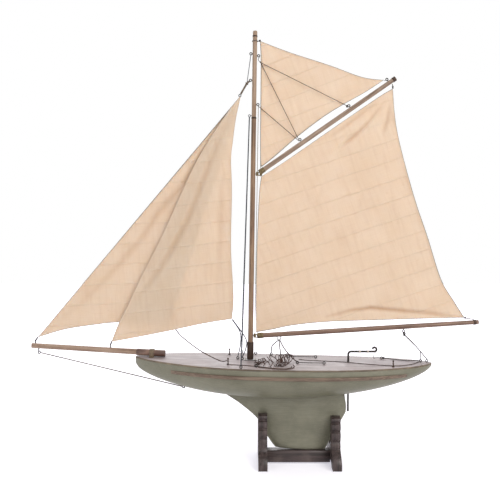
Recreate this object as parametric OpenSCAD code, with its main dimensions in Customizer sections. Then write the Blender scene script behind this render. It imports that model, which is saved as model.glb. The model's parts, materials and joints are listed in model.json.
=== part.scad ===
// Gaff-cutter pond yacht on its stand. Bow to -X, port to -Y, up is +Z.

/* [Hull] */
// half of the greatest beam
half_beam = 87; // [80:1:94]
// depth of the canoe body below the deck edge
hull_d = 76; // [72:1:80]
// thickness of the carved hull wall
hull_wall = 8; // [5:0.5:10]
// thickness of the deck board at its edge
deck_t = 3; // [2:0.5:4]
// rise of the deck at its middle
camber = 2.5; // [1:0.5:4]

/* [Keel] */
// greatest thickness of the fin
fin_t = 20; // [14:1:24]
// height of the joint between the fin and the lead
lead_top = 62; // [54:1:70]
// diameter of the keel bolts
bolt_d = 3; // [2.5:0.25:4]
// how far the strake stands out from the side
strake_t = 3; // [2:0.5:5]

/* [Spars] */
// diameter of the mast at deck level
mast_d = 11.6; // [10.6:0.2:12]
// diameter of the topmast
topmast_d = 9.8; // [9:0.2:10.2]
// diameter of the boom
boom_d = 10.9; // [10:0.1:11.5]
// diameter of the gaff
gaff_d = 10.4; // [9.6:0.2:11]
// diameter of the bowsprit at its heel
sprit_d = 13.2; // [12.4:0.2:13.6]
// diameter of the bowsprit at its tip
sprit_tip_d = 11.2; // [10:0.2:12]

/* [Rigging] */
// thickness of the sail cloth
cloth_t = 1; // [0.8:0.1:1.4]
// fullness of the mainsail
belly = 9; // [2:1:14]
// diameter of the sheets
cord_d = 1.6; // [1.3:0.1:1.9]
// diameter of the standing rigging
wire_d = 1.3; // [1:0.1:1.6]
// wire diameter of the screw eyes
eye_wire = 1.5; // [1.2:0.1:1.7]
// inner radius of the screw eyes
eye_r = 1.7; // [1.5:0.1:1.9]

/* [Steering] */
// diameter of the rudder rod and tiller
tiller_d = 3.6; // [3:0.2:4]
// radial play of the turning pins
play = 0.05; // [0.03:0.01:0.09]

/* [Stand] */
// thickness of the stand's end boards
board_t = 20; // [16:1:22]
// half of the width over the feet
foot_y = 62; // [56:1:70]
// height of the horns of the end boards
horn_z = 114; // [110:1:120]
// width of the stretcher
rail_w = 26; // [22:1:30]

/* [Hidden] */
$fn = 32;
gap = 0.3;
hull_l = 654;
freeboard_z = 222;
sheer_rise = 15.5;
mast_h = 717;
rake = 0.86;
boom_l = 495;
gaff_l = 366;
rail_z = 28.4;
stem_x = -264;
stern_x = stem_x + hull_l;
mid_u = 0.4;
deep_u = 0.48;
stations = 30;
rows = 9;

function along(x) = (x - stem_x) / hull_l;
function sheer(u) = freeboard_z + sheer_rise * pow((0.8 - u) / 0.8, 2);
function fore_beam(u) = pow(max(0, 1 - pow(1 - u / mid_u, 2)), 0.7);
function aft_beam(u) = pow(max(0, 1 - pow((u - mid_u) / (1 - mid_u), 2.6)), 0.6);
function beam(u) = max(u < 0.5 ? 2.5 : 6, half_beam * (u < mid_u ? fore_beam(u) : aft_beam(u)));
function fore_deep(u) = 0.25 + 0.75 * pow(max(0, 1 - pow(1 - u / deep_u, 2.2)), 0.7);
function aft_deep(u) = 0.1 + 0.9 * pow(max(0, 1 - pow((u - deep_u) / (1 - deep_u), 1.9)), 0.7);
function deep(u) = hull_d * (u < deep_u ? fore_deep(u) : aft_deep(u));
function crown(u) = camber * beam(u) / half_beam;
function deck_z(x, y = 0) = sheer(along(x)) + crown(along(x)) * (1 - pow(y / beam(along(x)), 2));
function side_y(u, z, b, d) = b * pow(max(0, 1 - pow(max(0, z) / d, 2)), 1 / 2.4);
function bottom_z(x, y) = sheer(along(x)) - deep(along(x)) * sqrt(1 - pow(abs(y) / beam(along(x)), 2.4));
function spread(i, n) = (1 - cos(180 * i / n)) / 2;
function row_z(k, d) =
    k == 0 ? deck_t
    : k == 1 ? min(15, 0.42 * d)
    : k == 2 ? min(23, 0.62 * d)
    : let (a = min(23, 0.62 * d)) a + (d - a) * sin(90 * (k - 2) / (rows - 2));
function hull_ring(u) =
    let (b = beam(u), d = deep(u), s = sheer(u), x = stem_x + u * hull_l)
    [for (k = [0:2 * rows])
        let (j = k <= rows ? k : 2 * rows - k, z = row_z(j, d), side = k <= rows ? -1 : 1)
        [x, side * (j == rows ? 0 : side_y(u, z, b, d)), s - z]];
function hollow_ring(u) =
    let (b = max(2, beam(u) - hull_wall), d = max(4, deep(u) - hull_wall), s = sheer(u))
    [for (k = [0:2 * rows])
        let (j = k <= rows ? k : 2 * rows - k, side = k <= rows ? -1 : 1)
        let (z = j == 0 ? -4 : d * sin(90 * j / rows))
        [stem_x + u * hull_l, side * (j == rows ? 0 : side_y(u, z, b, d)), s - z]];
function deck_ring(u) =
    let (b = beam(u) + 0.5, s = sheer(u), x = stem_x + u * hull_l)
    concat([for (k = [2:-1:-2]) [x, k * b / 2, s + crown(u) * (1 - k * k / 4)]],
        [[x, -b, s - deck_t], [x, b, s - deck_t]]);

module loft(rings, strip = false) {
    m = len(rings[0]);
    n = len(rings);
    half = m / 2 - 2;
    cap = strip
        ? concat([for (j = [0:half]) [j, j + 1, m - 2 - j]], [for (j = [0:half]) [j, m - 2 - j, m - 1 - j]])
        : [[for (j = [0:m - 1]) j]];
    polyhedron(
        points = [for (r = rings) for (p = r) p],
        faces = concat(
            cap,
            [for (f = cap) [for (j = [len(f) - 1:-1:0]) (n - 1) * m + f[j]]],
            [for (i = [0:n - 2]) for (j = [0:m - 1])
                [i * m + j, (i + 1) * m + j, (i + 1) * m + (j + 1) % m]],
            [for (i = [0:n - 2]) for (j = [0:m - 1])
                [i * m + j, (i + 1) * m + (j + 1) % m, i * m + (j + 1) % m]]),
        convexity = 6);
}

// a round bar between two points
module bar(a, b, r) {
    v = b - a;
    l = norm(v);
    translate(a) rotate([0, acos(v[2] / l), atan2(v[1], v[0])]) cylinder(h = l, r = r);
}

module ring(r, w) rotate_extrude() translate([r, 0]) circle(w);

// a screw eye standing on z = 0, its shank going down
module screw_eye(shank = 3) {
    translate([0, 0, eye_top]) rotate([90, 0, 0]) ring(eye_r + eye_wire / 2, eye_wire / 2);
    translate([0, 0, -shank]) cylinder(h = shank + 0.2 + 0.7 * eye_wire, d = eye_wire);
}
eye_out = eye_r + eye_wire;
eye_top = eye_out + 0.2;

function smooth(p, t) =
    let (n = len(p) - 1, k = min(floor(t * n), n - 1), f = t * n - k)
    let (a = p[max(k - 1, 0)], b = p[k], c = p[k + 1], d = p[min(k + 2, n)])
    0.5 * (2 * b + (c - a) * f + (2 * a - 5 * b + 4 * c - d) * f * f + (3 * b - a - 3 * c + d) * f * f * f);

// a cord swept along a list of points
module cord(path, d, rings, ref = [0, 1, 0]) {
    pts = [for (i = [0:rings]) smooth(path, i / rings)];
    tube(pts, d, 8, ref);
}
module tube(pts, d, sides, ref) {
    n = len(pts) - 1;
    loft([for (i = [0:n])
        let (v = pts[min(i + 1, n)] - pts[max(i - 1, 0)], t = v / norm(v))
        let (a = cross(t, ref) / norm(cross(t, ref)), b = cross(t, a))
        [for (k = [0:sides - 1]) pts[i] + d / 2 * (cos(360 * k / sides) * a + sin(360 * k / sides) * b)]]);
}

// a sail between four edge curves, each a list of [x, z]
function patch(luff, leech, foot, head, s, t) =
    (1 - s) * smooth(luff, t) + s * smooth(leech, t) + (1 - t) * smooth(foot, s) + t * smooth(head, s)
    - (1 - s) * (1 - t) * foot[0] - s * (1 - t) * foot[len(foot) - 1]
    - (1 - s) * t * head[0] - s * t * head[len(head) - 1];
module sail(luff, leech, foot, head, ns, nt, full, y0 = 0, twist = 0) {
    function at(i, j, side) =
        let (s = i / ns, t = j / nt, p = patch(luff, leech, foot, head, s, t))
        [p[0], y0 + twist * s * (1 - t) + full * sin(180 * s) * sin(180 * t) + side * cloth_t / 2, p[1]];
    m = nt + 1;
    n = (ns + 1) * m;
    cells = [for (i = [0:ns - 1]) for (j = [0:nt - 1]) i * m + j];
    rim = concat([for (j = [0:nt]) j], [for (i = [1:ns]) i * m + nt],
        [for (j = [nt - 1:-1:0]) ns * m + j], [for (i = [ns - 1:-1:1]) i * m]);
    polyhedron(
        points = concat([for (i = [0:ns]) for (j = [0:nt]) at(i, j, -1)],
            [for (i = [0:ns]) for (j = [0:nt]) at(i, j, 1)]),
        faces = concat(
            [for (q = cells) [q, q + 1, q + m + 1]],
            [for (q = cells) [q, q + m + 1, q + m]],
            [for (q = cells) [n + q, n + q + m + 1, n + q + 1]],
            [for (q = cells) [n + q, n + q + m, n + q + m + 1]],
            [for (k = [0:len(rim) - 1]) let (a = rim[k], b = rim[(k + 1) % len(rim)]) [a, n + b, b]],
            [for (k = [0:len(rim) - 1]) let (a = rim[k], b = rim[(k + 1) % len(rim)]) [a, n + a, n + b]]),
        convexity = 8);
}

// hull and keel
module hull_shell() color("#7d7a69") difference() {
    loft([for (i = [0:stations]) hull_ring(spread(i, stations))]);
    loft([for (i = [0:16]) hollow_ring(0.08 + 0.82 * spread(i, 16))]);
    rudder_hole();
    keel_holes();
}
rudder_x = 206.8;
tube_d = 6;
module rudder_hole() translate([rudder_x, 0, 100]) rotate(20) cylinder(h = 150, d = tube_d + 0.1);
keel_bolt_x = [64, 104, 144];
module keel_holes() for (x = keel_bolt_x)
    translate([x, 0, lead_top - 20]) cylinder(h = 120, d = bolt_d + 0.1);

module deck() color("#beb2b2") difference() {
    loft([for (i = [0:stations]) deck_ring(spread(i, stations))]);
    rudder_hole();
}

fin_fore = [[28, 46], [39, 38], [55, 29], [80, 15], [96, 7], [114, -11], [126, -26],
    [138, -42], [152, -70]];
fin_aft = [[28, 156], [46, 165], [94, 191.5], [110, 200.5], [116, 202.2], [131, 202], [148, 199]];
function fin_half(c) = fin_t / 2 * max(0.16, 1 - pow(abs(2 * c - 1), 3.2));
fin_n = 14;
function fin_ring(z, k = 1, tip = 0) =
    let (x0 = lookup(z, fin_fore), x1 = lookup(z, fin_aft))
    [for (i = [0:2 * fin_n + 1])
        let (j = i <= fin_n ? i : 2 * fin_n + 1 - i, c = spread(j, fin_n), side = i <= fin_n ? -1 : 1)
        let (x = x0 + (x1 - x0) * c, y = side * k * fin_half(c))
        [x, y, tip == 1 ? bottom_z(x, y) - gap : tip == 2 ? rail_z + gap + max(0, 110 - x) * 0.07 : z]];
module fin_keel() color("#7f7d6c") difference() {
    loft(concat([for (z = [lead_top, 80, 96, 114, 126, 138]) fin_ring(z)], [fin_ring(152, 1, 1)]), true);
    keel_holes();
}
module ballast_lead() color("#77766a") difference() {
    loft([fin_ring(28, 0.55, 2), fin_ring(39), fin_ring(50), fin_ring(lead_top - 0.1)], true);
    keel_holes();
}
module keel_bolts() color("#a08a5a") for (x = keel_bolt_x) {
    top = bottom_z(x, 0) + hull_wall + 1;
    translate([x, 0, lead_top - 19]) cylinder(h = top - lead_top + 24, d = bolt_d);
    translate([x, 0, top + gap]) cylinder(h = 2.4, d = 2 * bolt_d, $fn = 6);
}

strake_from = 7;
strake_to = 24;
module strake(side) {
    function at(i, k, out) =
        let (u = spread(i, stations), d = deep(u), z = row_z(k, d))
        let (f = (i - strake_from) / (strake_to - strake_from))
        let (thick = out * strake_t * min(1, 0.3 + 6 * min(f, 1 - f)))
        [stem_x + u * hull_l, side * (side_y(u, z, beam(u), d) + 0.25 + thick), sheer(u) - z];
    rings = [for (i = [strake_from:strake_to]) [at(i, 1, 0), at(i, 1, 1), at(i, 2, 1), at(i, 2, 0)]];
    loft(side < 0 ? rings : [for (r = rings) [r[3], r[2], r[1], r[0]]]);
}
module rubbing_strakes() color("#786458") {
    strake(-1);
    strake(1);
}

// bowsprit
sprit_tip = [-494, 0, 261];
sprit_heel = [-200, 0, 243.1];
sprit_dir = (sprit_tip - sprit_heel) / norm(sprit_tip - sprit_heel);
sprit_l = norm(sprit_tip - sprit_heel);
socket_l = 62;
socket_t = 0.8;
hook_wire = 2.2;
function on_sprit(x) = sprit_heel + sprit_dir * (sprit_heel[0] - x) / -sprit_dir[0];
function sprit_r(x) = sprit_tip_d / 2 + (sprit_d - sprit_tip_d) / 2 * (x + 494) / 294;
module along_sprit() translate(sprit_heel) rotate([0, -acos(sprit_dir[2]), 0]) children();
module bowsprit() color("#be9678") difference() {
    along_sprit() cylinder(h = sprit_l, r1 = sprit_d / 2, r2 = sprit_tip_d / 2);
    for (x = [-486, -320]) translate([x, 0, on_sprit(x)[2]]) cylinder(h = 12, d = hook_wire + 0.1);
    translate([-479, 0, on_sprit(-479)[2] - 12]) cylinder(h = 12, d = hook_wire + 0.1);
}
module bowsprit_socket() color("#4a3a34") along_sprit() difference() {
    translate([0, 0, -1.5]) cylinder(h = socket_l + 1.5, d = sprit_d + 2 * socket_t);
    cylinder(h = socket_l + 5, d1 = sprit_d + 0.1, d2 = sprit_d + 0.1);
}
strap_x = -228;
strap_r = sprit_d / 2 + socket_t + 0.1;
module bowsprit_strap() color("#a2876d") {
    z0 = deck_z(strap_x) + gap;
    c = on_sprit(strap_x)[2];
    r = strap_r;
    translate([strap_x - 5, 0, 0]) difference() {
        union() {
            translate([0, 0, c]) rotate([0, 90, 0]) cylinder(h = 10, r = r + 1.2);
            translate([0, -r - 1.2, z0]) cube([10, 2 * r + 2.4, c - z0]);
            translate([0, -r - 8, z0]) cube([10, 2 * r + 16, 1.4]);
        }
        translate([-1, 0, c]) rotate([0, 90, 0]) cylinder(h = 12, r = r + 0.35);
        translate([-1, -r - 0.35, z0 - 9]) cube([12, 2 * r + 0.7, c - z0 + 9]);
        for (y = [-r - 5, r + 5]) translate([5, y, z0 - 1]) cylinder(h = 4, d = 2.2);
    }
}
module strap_screws() for (s = [-1, 1])
    translate([strap_x, s * (strap_r + 5), deck_z(strap_x) + gap]) {
        cylinder(h = 1.4, d = 2);
        translate([0, 0, 1.45]) cylinder(h = 0.9, d1 = 4, d2 = 3);
    }
bob_eye_x = -156.4;
bob_eye_r = 2.2;
bob_low = [bob_eye_x - 2.8, 0, bottom_z(bob_eye_x, 0) - 4.2];
bob_high = [-477, 0, 245.5];
jib_tack = [-481, 279];
stay_tack = [-317.5, 269.5];
module sprit_hooks() color("#5a5048") {
    bar([-486, 0, on_sprit(-486)[2] + sprit_r(-486) - 3], [-486, 0, 272], hook_wire / 2);
    bar([-486, 0, 272], [jib_tack[0] - 0.7, 0, jib_tack[1] - 0.7], hook_wire / 2);
    translate([-486, 0, 272]) sphere(d = 1.3 * hook_wire);
    bar([-320, 0, on_sprit(-320)[2] + sprit_r(-320) - 3], [-320, 0, 263], hook_wire / 2);
    bar([-320, 0, 263], [stay_tack[0] - 0.6, 0, stay_tack[1] - 0.8], hook_wire / 2);
    translate([-320, 0, 263]) sphere(d = 1.3 * hook_wire);
    bar([-479, 0, on_sprit(-479)[2] - sprit_r(-479) + 3], [-479, 0, 248], hook_wire / 2);
    translate([bob_high[0] - 1, 0, bob_high[2]]) rotate([90, 0, 0]) ring(2.6, eye_wire / 2);
}
module bobstay() color("#6e6258") bar(bob_high + [2.3, 0, -0.6], bob_low + [-2.9, 0, 0.75], wire_d / 2);
module bobstay_eye() color("#5a5048") {
    translate(bob_low) rotate([90, 0, 0]) ring(bob_eye_r, eye_wire / 2);
    bar([bob_eye_x, 0, bob_low[2] - 2.6], [bob_eye_x, 0, bottom_z(bob_eye_x, 0) - gap], 0.9);
}

// mast
mast_x = -10.6;
mast_z = deck_z(mast_x - 14) + 1.7;
ferrule_z = 528;
ferrule_h = 4;
strop_h = ferrule_z + ferrule_h + 2.6;
hinge_off = 9.5;
function mast_at(h, off = 0) =
    [mast_x + sin(rake) * h + cos(rake) * off, 0, mast_z + cos(rake) * h - sin(rake) * off];
module raked() translate([mast_x, 0, mast_z]) rotate([0, rake, 0]) children();
eye_high = mast_h - 53;
eye_low = mast_h - 158;
eye_fore = mast_h - 49;
eye_head = mast_h - 106;
mast_eye_at = [[eye_high, 1], [eye_fore, -1], [eye_low, 1], [eye_head, -1]];
tube_h = 38;
module mast_plate() color("#b9ad9c") difference() {
    translate([mast_x - 14, -11, deck_z(-24) + 0.2]) cube([28, 22, mast_z - deck_z(-24) - 0.3]);
    for (x = [-11, 11]) for (y = [-8, 8]) translate([mast_x + x, y, mast_z - 8]) cylinder(h = 12, d = 1.9);
}
module deck_screws() color("#8a7248") {
    strap_screws();
    plate_screws();
}
module plate_screws() for (x = [-11, 11]) for (y = [-8, 8])
    translate([mast_x + x, y, deck_z(mast_x + x, y) + gap]) {
        cylinder(h = mast_z - deck_z(mast_x + x, y) - gap, d = 1.8);
        translate([0, 0, mast_z - deck_z(mast_x + x, y) - gap]) cylinder(h = 0.8, d1 = 3.4, d2 = 2.4);
    }
module mast_tube() color("#3d302b") raked() difference() {
    translate([0, 0, 0.2]) cylinder(h = tube_h, d = mast_d + 3);
    translate([0, 0, 2]) cylinder(h = tube_h, d = mast_d + 0.1);
}
module lower_mast() color("#8c6a55") raked() difference() {
    union() {
        translate([0, 0, 2.1]) cylinder(h = tube_h, d = mast_d);
        translate([0, 0, tube_h + 2.1])
            cylinder(h = ferrule_z - tube_h - 2.1, d1 = mast_d, d2 = mast_d - 1.2);
        cylinder(h = ferrule_z + ferrule_h / 2, d = topmast_d - 1.2);
    }
    cylinder(h = 2.1, d = mast_d + 1);
    for (h = [boom_hinge, gaff_hinge]) translate([0, 0, h]) rotate([0, 90, 0]) cylinder(h = 20, d = 2.3);
}
module mast_ferrule() color("#4d4038") raked() difference() {
    translate([0, 0, ferrule_z + 0.1]) cylinder(h = ferrule_h - 0.2, d = mast_d - 0.4);
    translate([0, 0, ferrule_z - 1]) cylinder(h = ferrule_h + 2, d = topmast_d - 1.1);
}
module topmast() color("#8a6853") raked() difference() {
    union() {
        translate([0, 0, ferrule_z + ferrule_h])
            cylinder(h = mast_h - ferrule_z - ferrule_h - 1.5, d = topmast_d);
        translate([0, 0, ferrule_z + ferrule_h / 2 + 0.1]) cylinder(h = 30, d = topmast_d - 1.2);
        translate([0, 0, mast_h - 1.5]) cylinder(h = 1.5, d1 = topmast_d, d2 = topmast_d - 2.4);
    }
    for (e = mast_eye_at) translate([0, 0, e[0]]) rotate([0, 90 * e[1], 0])
        cylinder(h = 12, d = eye_wire + 0.1);
    translate([0, 0, strop_h]) rotate([0, -90, 0]) cylinder(h = 12, d = eye_wire + 0.1);
}
module mast_eyes() color("#6a5a48") raked() for (e = mast_eye_at)
    translate([e[1] * (topmast_d / 2 + 0.15), 0, e[0]]) rotate([0, 90 * e[1], 0]) screw_eye(2.2);
module masthead_band() color("#5a4b40") raked() translate([0, 0, mast_h - 13]) difference() {
    cylinder(h = 3, d = topmast_d + 1);
    translate([0, 0, -1]) cylinder(h = 5, d = topmast_d + 0.1);
}
module topsail_strop() color("#9a8c78") raked() translate([0, 0, mast_h - 22]) {
    ring(topmast_d / 2 + 0.9, 0.8);
    translate([topmast_d / 2 + 0.9, 0, 0]) rotate([0, 90, 0]) cylinder(h = 3.9, r = 0.8);
}
shroud_top = mast_at(strop_h, -9.5);
chain_x = -30;
function chain_y() = beam(along(chain_x)) - 5;
function chain_z() = deck_z(chain_x, chain_y()) + eye_top;
module shroud_strop() color("#8d8f96") {
    translate(shroud_top) rotate([90, 0, 0]) ring(2.3, 0.8);
    raked() translate([-2.6, 0, strop_h]) rotate([0, -90, 0]) cylinder(h = 4.4, d = eye_wire);
}
module shroud(s) bar(shroud_top + [-0.2, s * 1.5, -2.6],
    [chain_x, s * (chain_y() - 0.4), chain_z() + eye_out + 0.2], wire_d / 2);
module shrouds() color("#6d7480") {
    shroud(-1);
    shroud(1);
}

// deck gear: [x, y] of each screw eye
plate_eye_x = mast_x - 14 - eye_out - gap;
deck_eye_at = [[chain_x, -chain_y()], [chain_x, chain_y()], [2, -68], [2, 68], [38, 62], [-38, 2],
    [plate_eye_x, -4], [92, -30], [150, -30], [76, 38], [138, 34], [286, 30], [367, 0], [381, 0]];
module deck_eyes() color("#4e443c") for (e = deck_eye_at)
    translate([e[0], e[1], deck_z(e[0], e[1]) + 0.2]) screw_eye(0);
module jackstays() color("#5d5560") {
    o = eye_out + gap;
    bar([92 + o, -30, deck_z(92, -30) + eye_top], [150 - o, -30, deck_z(150, -30) + eye_top], 0.7);
    bar([76 + o, 37.8, deck_z(76, 38) + eye_top], [138 - o, 34.1, deck_z(138, 34) + eye_top], 0.7);
}
bollard_at = [[-58, -52], [-58, 52], [297, -46]];
module bollards() color("#4a3c34") for (b = bollard_at)
    translate([b[0], b[1], deck_z(b[0], b[1]) + gap]) rotate_extrude()
        polygon([[0, 0], [2.6, 0], [2.6, 1.5], [1.2, 3], [1.2, 6], [2, 7], [1.2, 8], [1.2, 11], [2.1, 12.4],
            [1.6, 14.5], [0, 15]]);

// rudder rod and tiller
tiller_z = 247.4;
bend_r = 6;
loop_r = 4.6;
module rudder_tube() color("#8f7a50") difference() {
    translate([rudder_x, 0, bottom_z(rudder_x, 0) - 1])
        cylinder(h = deck_z(rudder_x) - bottom_z(rudder_x, 0) + 2, d = tube_d);
    translate([rudder_x, 0, 100]) cylinder(h = 200, d = tiller_d + 2 * play);
}
module tiller() color("#3a302c") translate([rudder_x, 0, 0]) {
    translate([0, 0, 114]) cylinder(h = tiller_z - bend_r - 114, d = tiller_d);
    translate([bend_r, 0, tiller_z - bend_r]) rotate([90, 0, 0]) rotate([0, 0, 90])
        rotate_extrude(angle = 90) translate([bend_r, 0]) circle(d = tiller_d);
    translate([bend_r, 0, tiller_z]) rotate([0, 90, 0]) cylinder(h = 58 - bend_r, d = tiller_d);
    translate([58, 0, tiller_z + loop_r]) rotate([90, 0, 0]) rotate([0, 0, -90])
        rotate_extrude(angle = 250) translate([loop_r, 0]) circle(d = tiller_d);
}
module tiller_bands() color("#c9bfae") for (x = [24, 42])
    translate([rudder_x + x, 0, tiller_z]) rotate([0, 90, 0]) difference() {
        cylinder(h = 3, d = tiller_d + 1);
        translate([0, 0, -1]) cylinder(h = 5, d = tiller_d + 0.1);
    }

// boom and gaff, each hinged on a barrel eye behind the mast
boom_hinge = 52;
gaff_hinge = 408.5;
boom_up = 3.54;
gaff_up = 34.6;
pin_d = 3;
lug_h = 1.6;
barrel_h = 4.6;
module at_hinge(h) raked() translate([hinge_off, 0, h]) children();
module mast_lug(h, r) at_hinge(h) difference() {
    union() {
        translate([0, 0, -barrel_h / 2]) cylinder(h = barrel_h, d = pin_d + 2.6);
        translate([-hinge_off + r - 2.5, 0, 0]) rotate([0, 90, 0]) cylinder(h = hinge_off - r + 1, d = 2.2);
    }
    translate([0, 0, -5]) cylinder(h = 10, d = pin_d + 2 * play);
}
module mast_lugs() color("#9c8450") {
    mast_lug(boom_hinge, mast_d / 2);
    mast_lug(gaff_hinge, mast_d / 2 - 0.4);
}
module spar(up) rotate([0, 90 - up - rake, 0]) children();
jaw_from = 7.5;
function jaw_low(h, x) = mast_at(h, hinge_off)[2] - barrel_h / 2 - lug_h - 0.2
    - (x - mast_at(h, hinge_off)[0]) * tan(rake);
module jaw(h, up, d) at_hinge(h) difference() {
    union() {
        for (s = [-1, 1]) translate([0, 0, s * (barrel_h / 2 + lug_h / 2 + 0.2) - lug_h / 2]) {
            cylinder(h = lug_h, d = pin_d + 3);
            translate([0, -2, 0]) cube([jaw_from + 3, 4, lug_h]);
        }
        spar(up) translate([0, 0, jaw_from - 2]) cylinder(h = 13, d = d + 1.6);
        translate([4.9, -2, -barrel_h / 2 - lug_h - 0.2]) cube([5.6, 4, barrel_h + 2 * lug_h + 0.4]);
    }
    spar(up) translate([0, 0, jaw_from]) cylinder(h = 20, d = d + 0.1);
    translate([0, 0, -9]) cylinder(h = 18, d = pin_d + 0.1);
    translate([0, 0, -barrel_h / 2 - 0.2]) cylinder(h = barrel_h + 0.4, r = 4.6);
}
module hinge_pin(h) at_hinge(h) {
    translate([0, 0, -barrel_h / 2 - lug_h - 0.4]) cylinder(h = barrel_h + 2 * lug_h + 0.7, d = pin_d);
    translate([0, 0, barrel_h / 2 + lug_h + 0.25]) cylinder(h = 1.2, d1 = pin_d + 2, d2 = pin_d);
}
module boom_jaw() color("#a08c55") jaw(boom_hinge, boom_up, boom_d);
module gaff_jaw() color("#a08c55") jaw(gaff_hinge, gaff_up, gaff_d);
module boom_pin() color("#8a7440") hinge_pin(boom_hinge);
module gaff_pin() color("#8a7440") hinge_pin(gaff_hinge);
module on_boom(l) at_hinge(boom_hinge) spar(boom_up) translate([0, 0, l]) children();
module on_gaff(l) at_hinge(gaff_hinge) spar(gaff_up) translate([0, 0, l]) children();
function boom_at(l, up = 0) = mast_at(boom_hinge, hinge_off)
    + l * [cos(boom_up), 0, sin(boom_up)] + up * [-sin(boom_up), 0, cos(boom_up)];
function gaff_at(l, up = 0) = mast_at(gaff_hinge, hinge_off)
    + l * [cos(gaff_up), 0, sin(gaff_up)] + up * [-sin(gaff_up), 0, cos(gaff_up)];
staple_l = 53;
clip_l = 329;
band_l = boom_l - 11;
module boom() color("#8e705c") difference() {
    on_boom(jaw_from + 0.1) union() {
        cylinder(h = 320, d = boom_d);
        translate([0, 0, 320]) cylinder(h = boom_l - 320 - jaw_from, d1 = boom_d, d2 = boom_d - 1.6);
    }
    for (l = [staple_l - 4, staple_l + 4, clip_l])
        on_boom(l) rotate([0, 90, 0]) cylinder(h = 20, d = eye_wire + 0.1);
}
module boom_band() color("#6b5a48") on_boom(band_l) difference() {
    cylinder(h = 6, d = boom_d);
    translate([0, 0, -1]) cylinder(h = 8, d = boom_d - 1.35);
}
module boom_staple() color("#3f3833") on_boom(staple_l) {
    for (s = [-4, 4]) translate([boom_d / 2 - 2, 0, s]) rotate([0, 90, 0]) cylinder(h = 5, d = eye_wire);
    translate([boom_d / 2 + 3, 0, 0]) rotate([90, 0, 0]) rotate([0, 0, -90])
        rotate_extrude(angle = 180) translate([4, 0]) circle(d = eye_wire);
}
module sheet_clip() color("#4b4742") on_boom(clip_l) {
    translate([boom_d / 2 - 2, 0, 0]) rotate([0, 90, 0]) cylinder(h = 4.2, d = eye_wire);
    translate([boom_d / 2 + 4.3, 0, 0]) rotate([90, 0, 0]) ring(2.4, 0.7);
    translate([boom_d / 2 + 9.4, 0, 1]) rotate([90, 0, 0]) translate([0, 0, -1.6]) difference() {
        cylinder(h = 3.2, d = 6);
        translate([0, 0, -1]) cylinder(h = 6, d = 2);
    }
}
gaff_eye_at = [119, 248, 348];
module gaff() color("#8b6c57") difference() {
    on_gaff(jaw_from + 0.1) cylinder(h = gaff_l - jaw_from - 3, d1 = gaff_d, d2 = gaff_d - 1.2);
    for (l = gaff_eye_at) on_gaff(l) rotate([0, -90, 0]) cylinder(h = 20, d = eye_wire + 0.1);
}
module gaff_cap() color("#453a34") on_gaff(gaff_l - 9) difference() {
    cylinder(h = 7.5, d = gaff_d + 0.4);
    translate([0, 0, -1]) cylinder(h = 7.1, d = gaff_d - 1.05);
}
module gaff_eyes() color("#6a5a48") for (l = gaff_eye_at)
    on_gaff(l) rotate([0, -90, 0]) translate([0, 0, gaff_d / 2 + 0.1]) screw_eye(2.2);

// sails, each edge a list of [x, z]
main_throat = [13.4, 633.2];
main_peak = [299.5, 824];
main_clew = [463, 323];
main_tack = [2.4, 290.4];
main_luff = [main_tack, [2.3, 372], [4.2, 478], [8.8, 590], main_throat];
main_head = [main_throat, [59, 662], [129, 710], [183, 747.4], [239.5, 786], [276, 810.4], main_peak];
main_leech = [main_clew, [439, 360], [410, 409], [380, 500], [354, 574], [330, 654], [312, 723], [304, 772],
    main_peak];
main_foot = [main_tack, [35, 296], [88, 306.5], [166, 314], [272, 317.5], [376, 321], main_clew];
module mainsail() color("#e6cdb0") sail(main_luff, main_leech, main_foot, main_head, 16, 18, belly);
module mainsail_lashings() color("#a8977c") {
    bar([main_tack[0] + 3.5, 0, boom_at(9.8, boom_d / 2 + 1.1)[2]],
        [main_tack[0] + 3.5, 0, main_tack[1] + 0.15], 0.9);
    bar([main_clew[0] + 1.4, 0, main_clew[1] - 0.6], boom_at(band_l + 1, boom_d / 2 + 0.9), 0.8);
    bar([main_peak[0] + 0.4, 0, main_peak[1] + 1.4], gaff_at(352, -gaff_d / 2 - 0.6), 0.8);
    bar([main_throat[0] - 0.6, 0, main_throat[1] + 0.45],
        [main_throat[0] - 0.6, 0, jaw_low(gaff_hinge, main_throat[0] - 0.6) - gap], 0.8);
}
luff_cord_from = mast_at(boom_hinge + 5.8, hinge_off);
luff_cord_to = mast_at(gaff_hinge - 5, hinge_off);
module luff_cord() color("#8f8274") bar(luff_cord_from, luff_cord_to, 0.7);
top_at = mast_at(mast_h - 22, hinge_off);
top_head = [top_at[0] + 1.4, top_at[2] + 0.5];
top_clew = [280, 842.5];
top_tack = [11.6, 654.2];
top_luff = [top_tack, [11.6, 740], [12.2, 830], [12.4, 890], top_head];
top_leech = [top_head, [75, 902], [162, 874], [232, 849], top_clew];
top_foot = [top_tack + [3, 1], [41.5, 676], [96, 723], [152, 765], [198, 793], [239, 816], top_clew];
module topsail() color("#e6cdb0")
    sail(top_luff, top_foot, [top_tack, top_tack + [3, 1]], top_leech, 12, 12, 5);
module topsail_lashings() color("#a8977c") {
    bar(gaff_at(13.2, gaff_d / 2 + 3.2), gaff_at(13.2, gaff_d / 2 + 1.15), 0.8);
    bar([top_clew[0] + 1.2, 0, top_clew[1] - 1],
        gaff_at(gaff_eye_at[2] - eye_out - 1, gaff_d / 2 + eye_top), 0.9);
}
eye_y = -1.6;
below_eye = eye_out + 0.5;
fork = [11.6, eye_y, 880.5];
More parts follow.
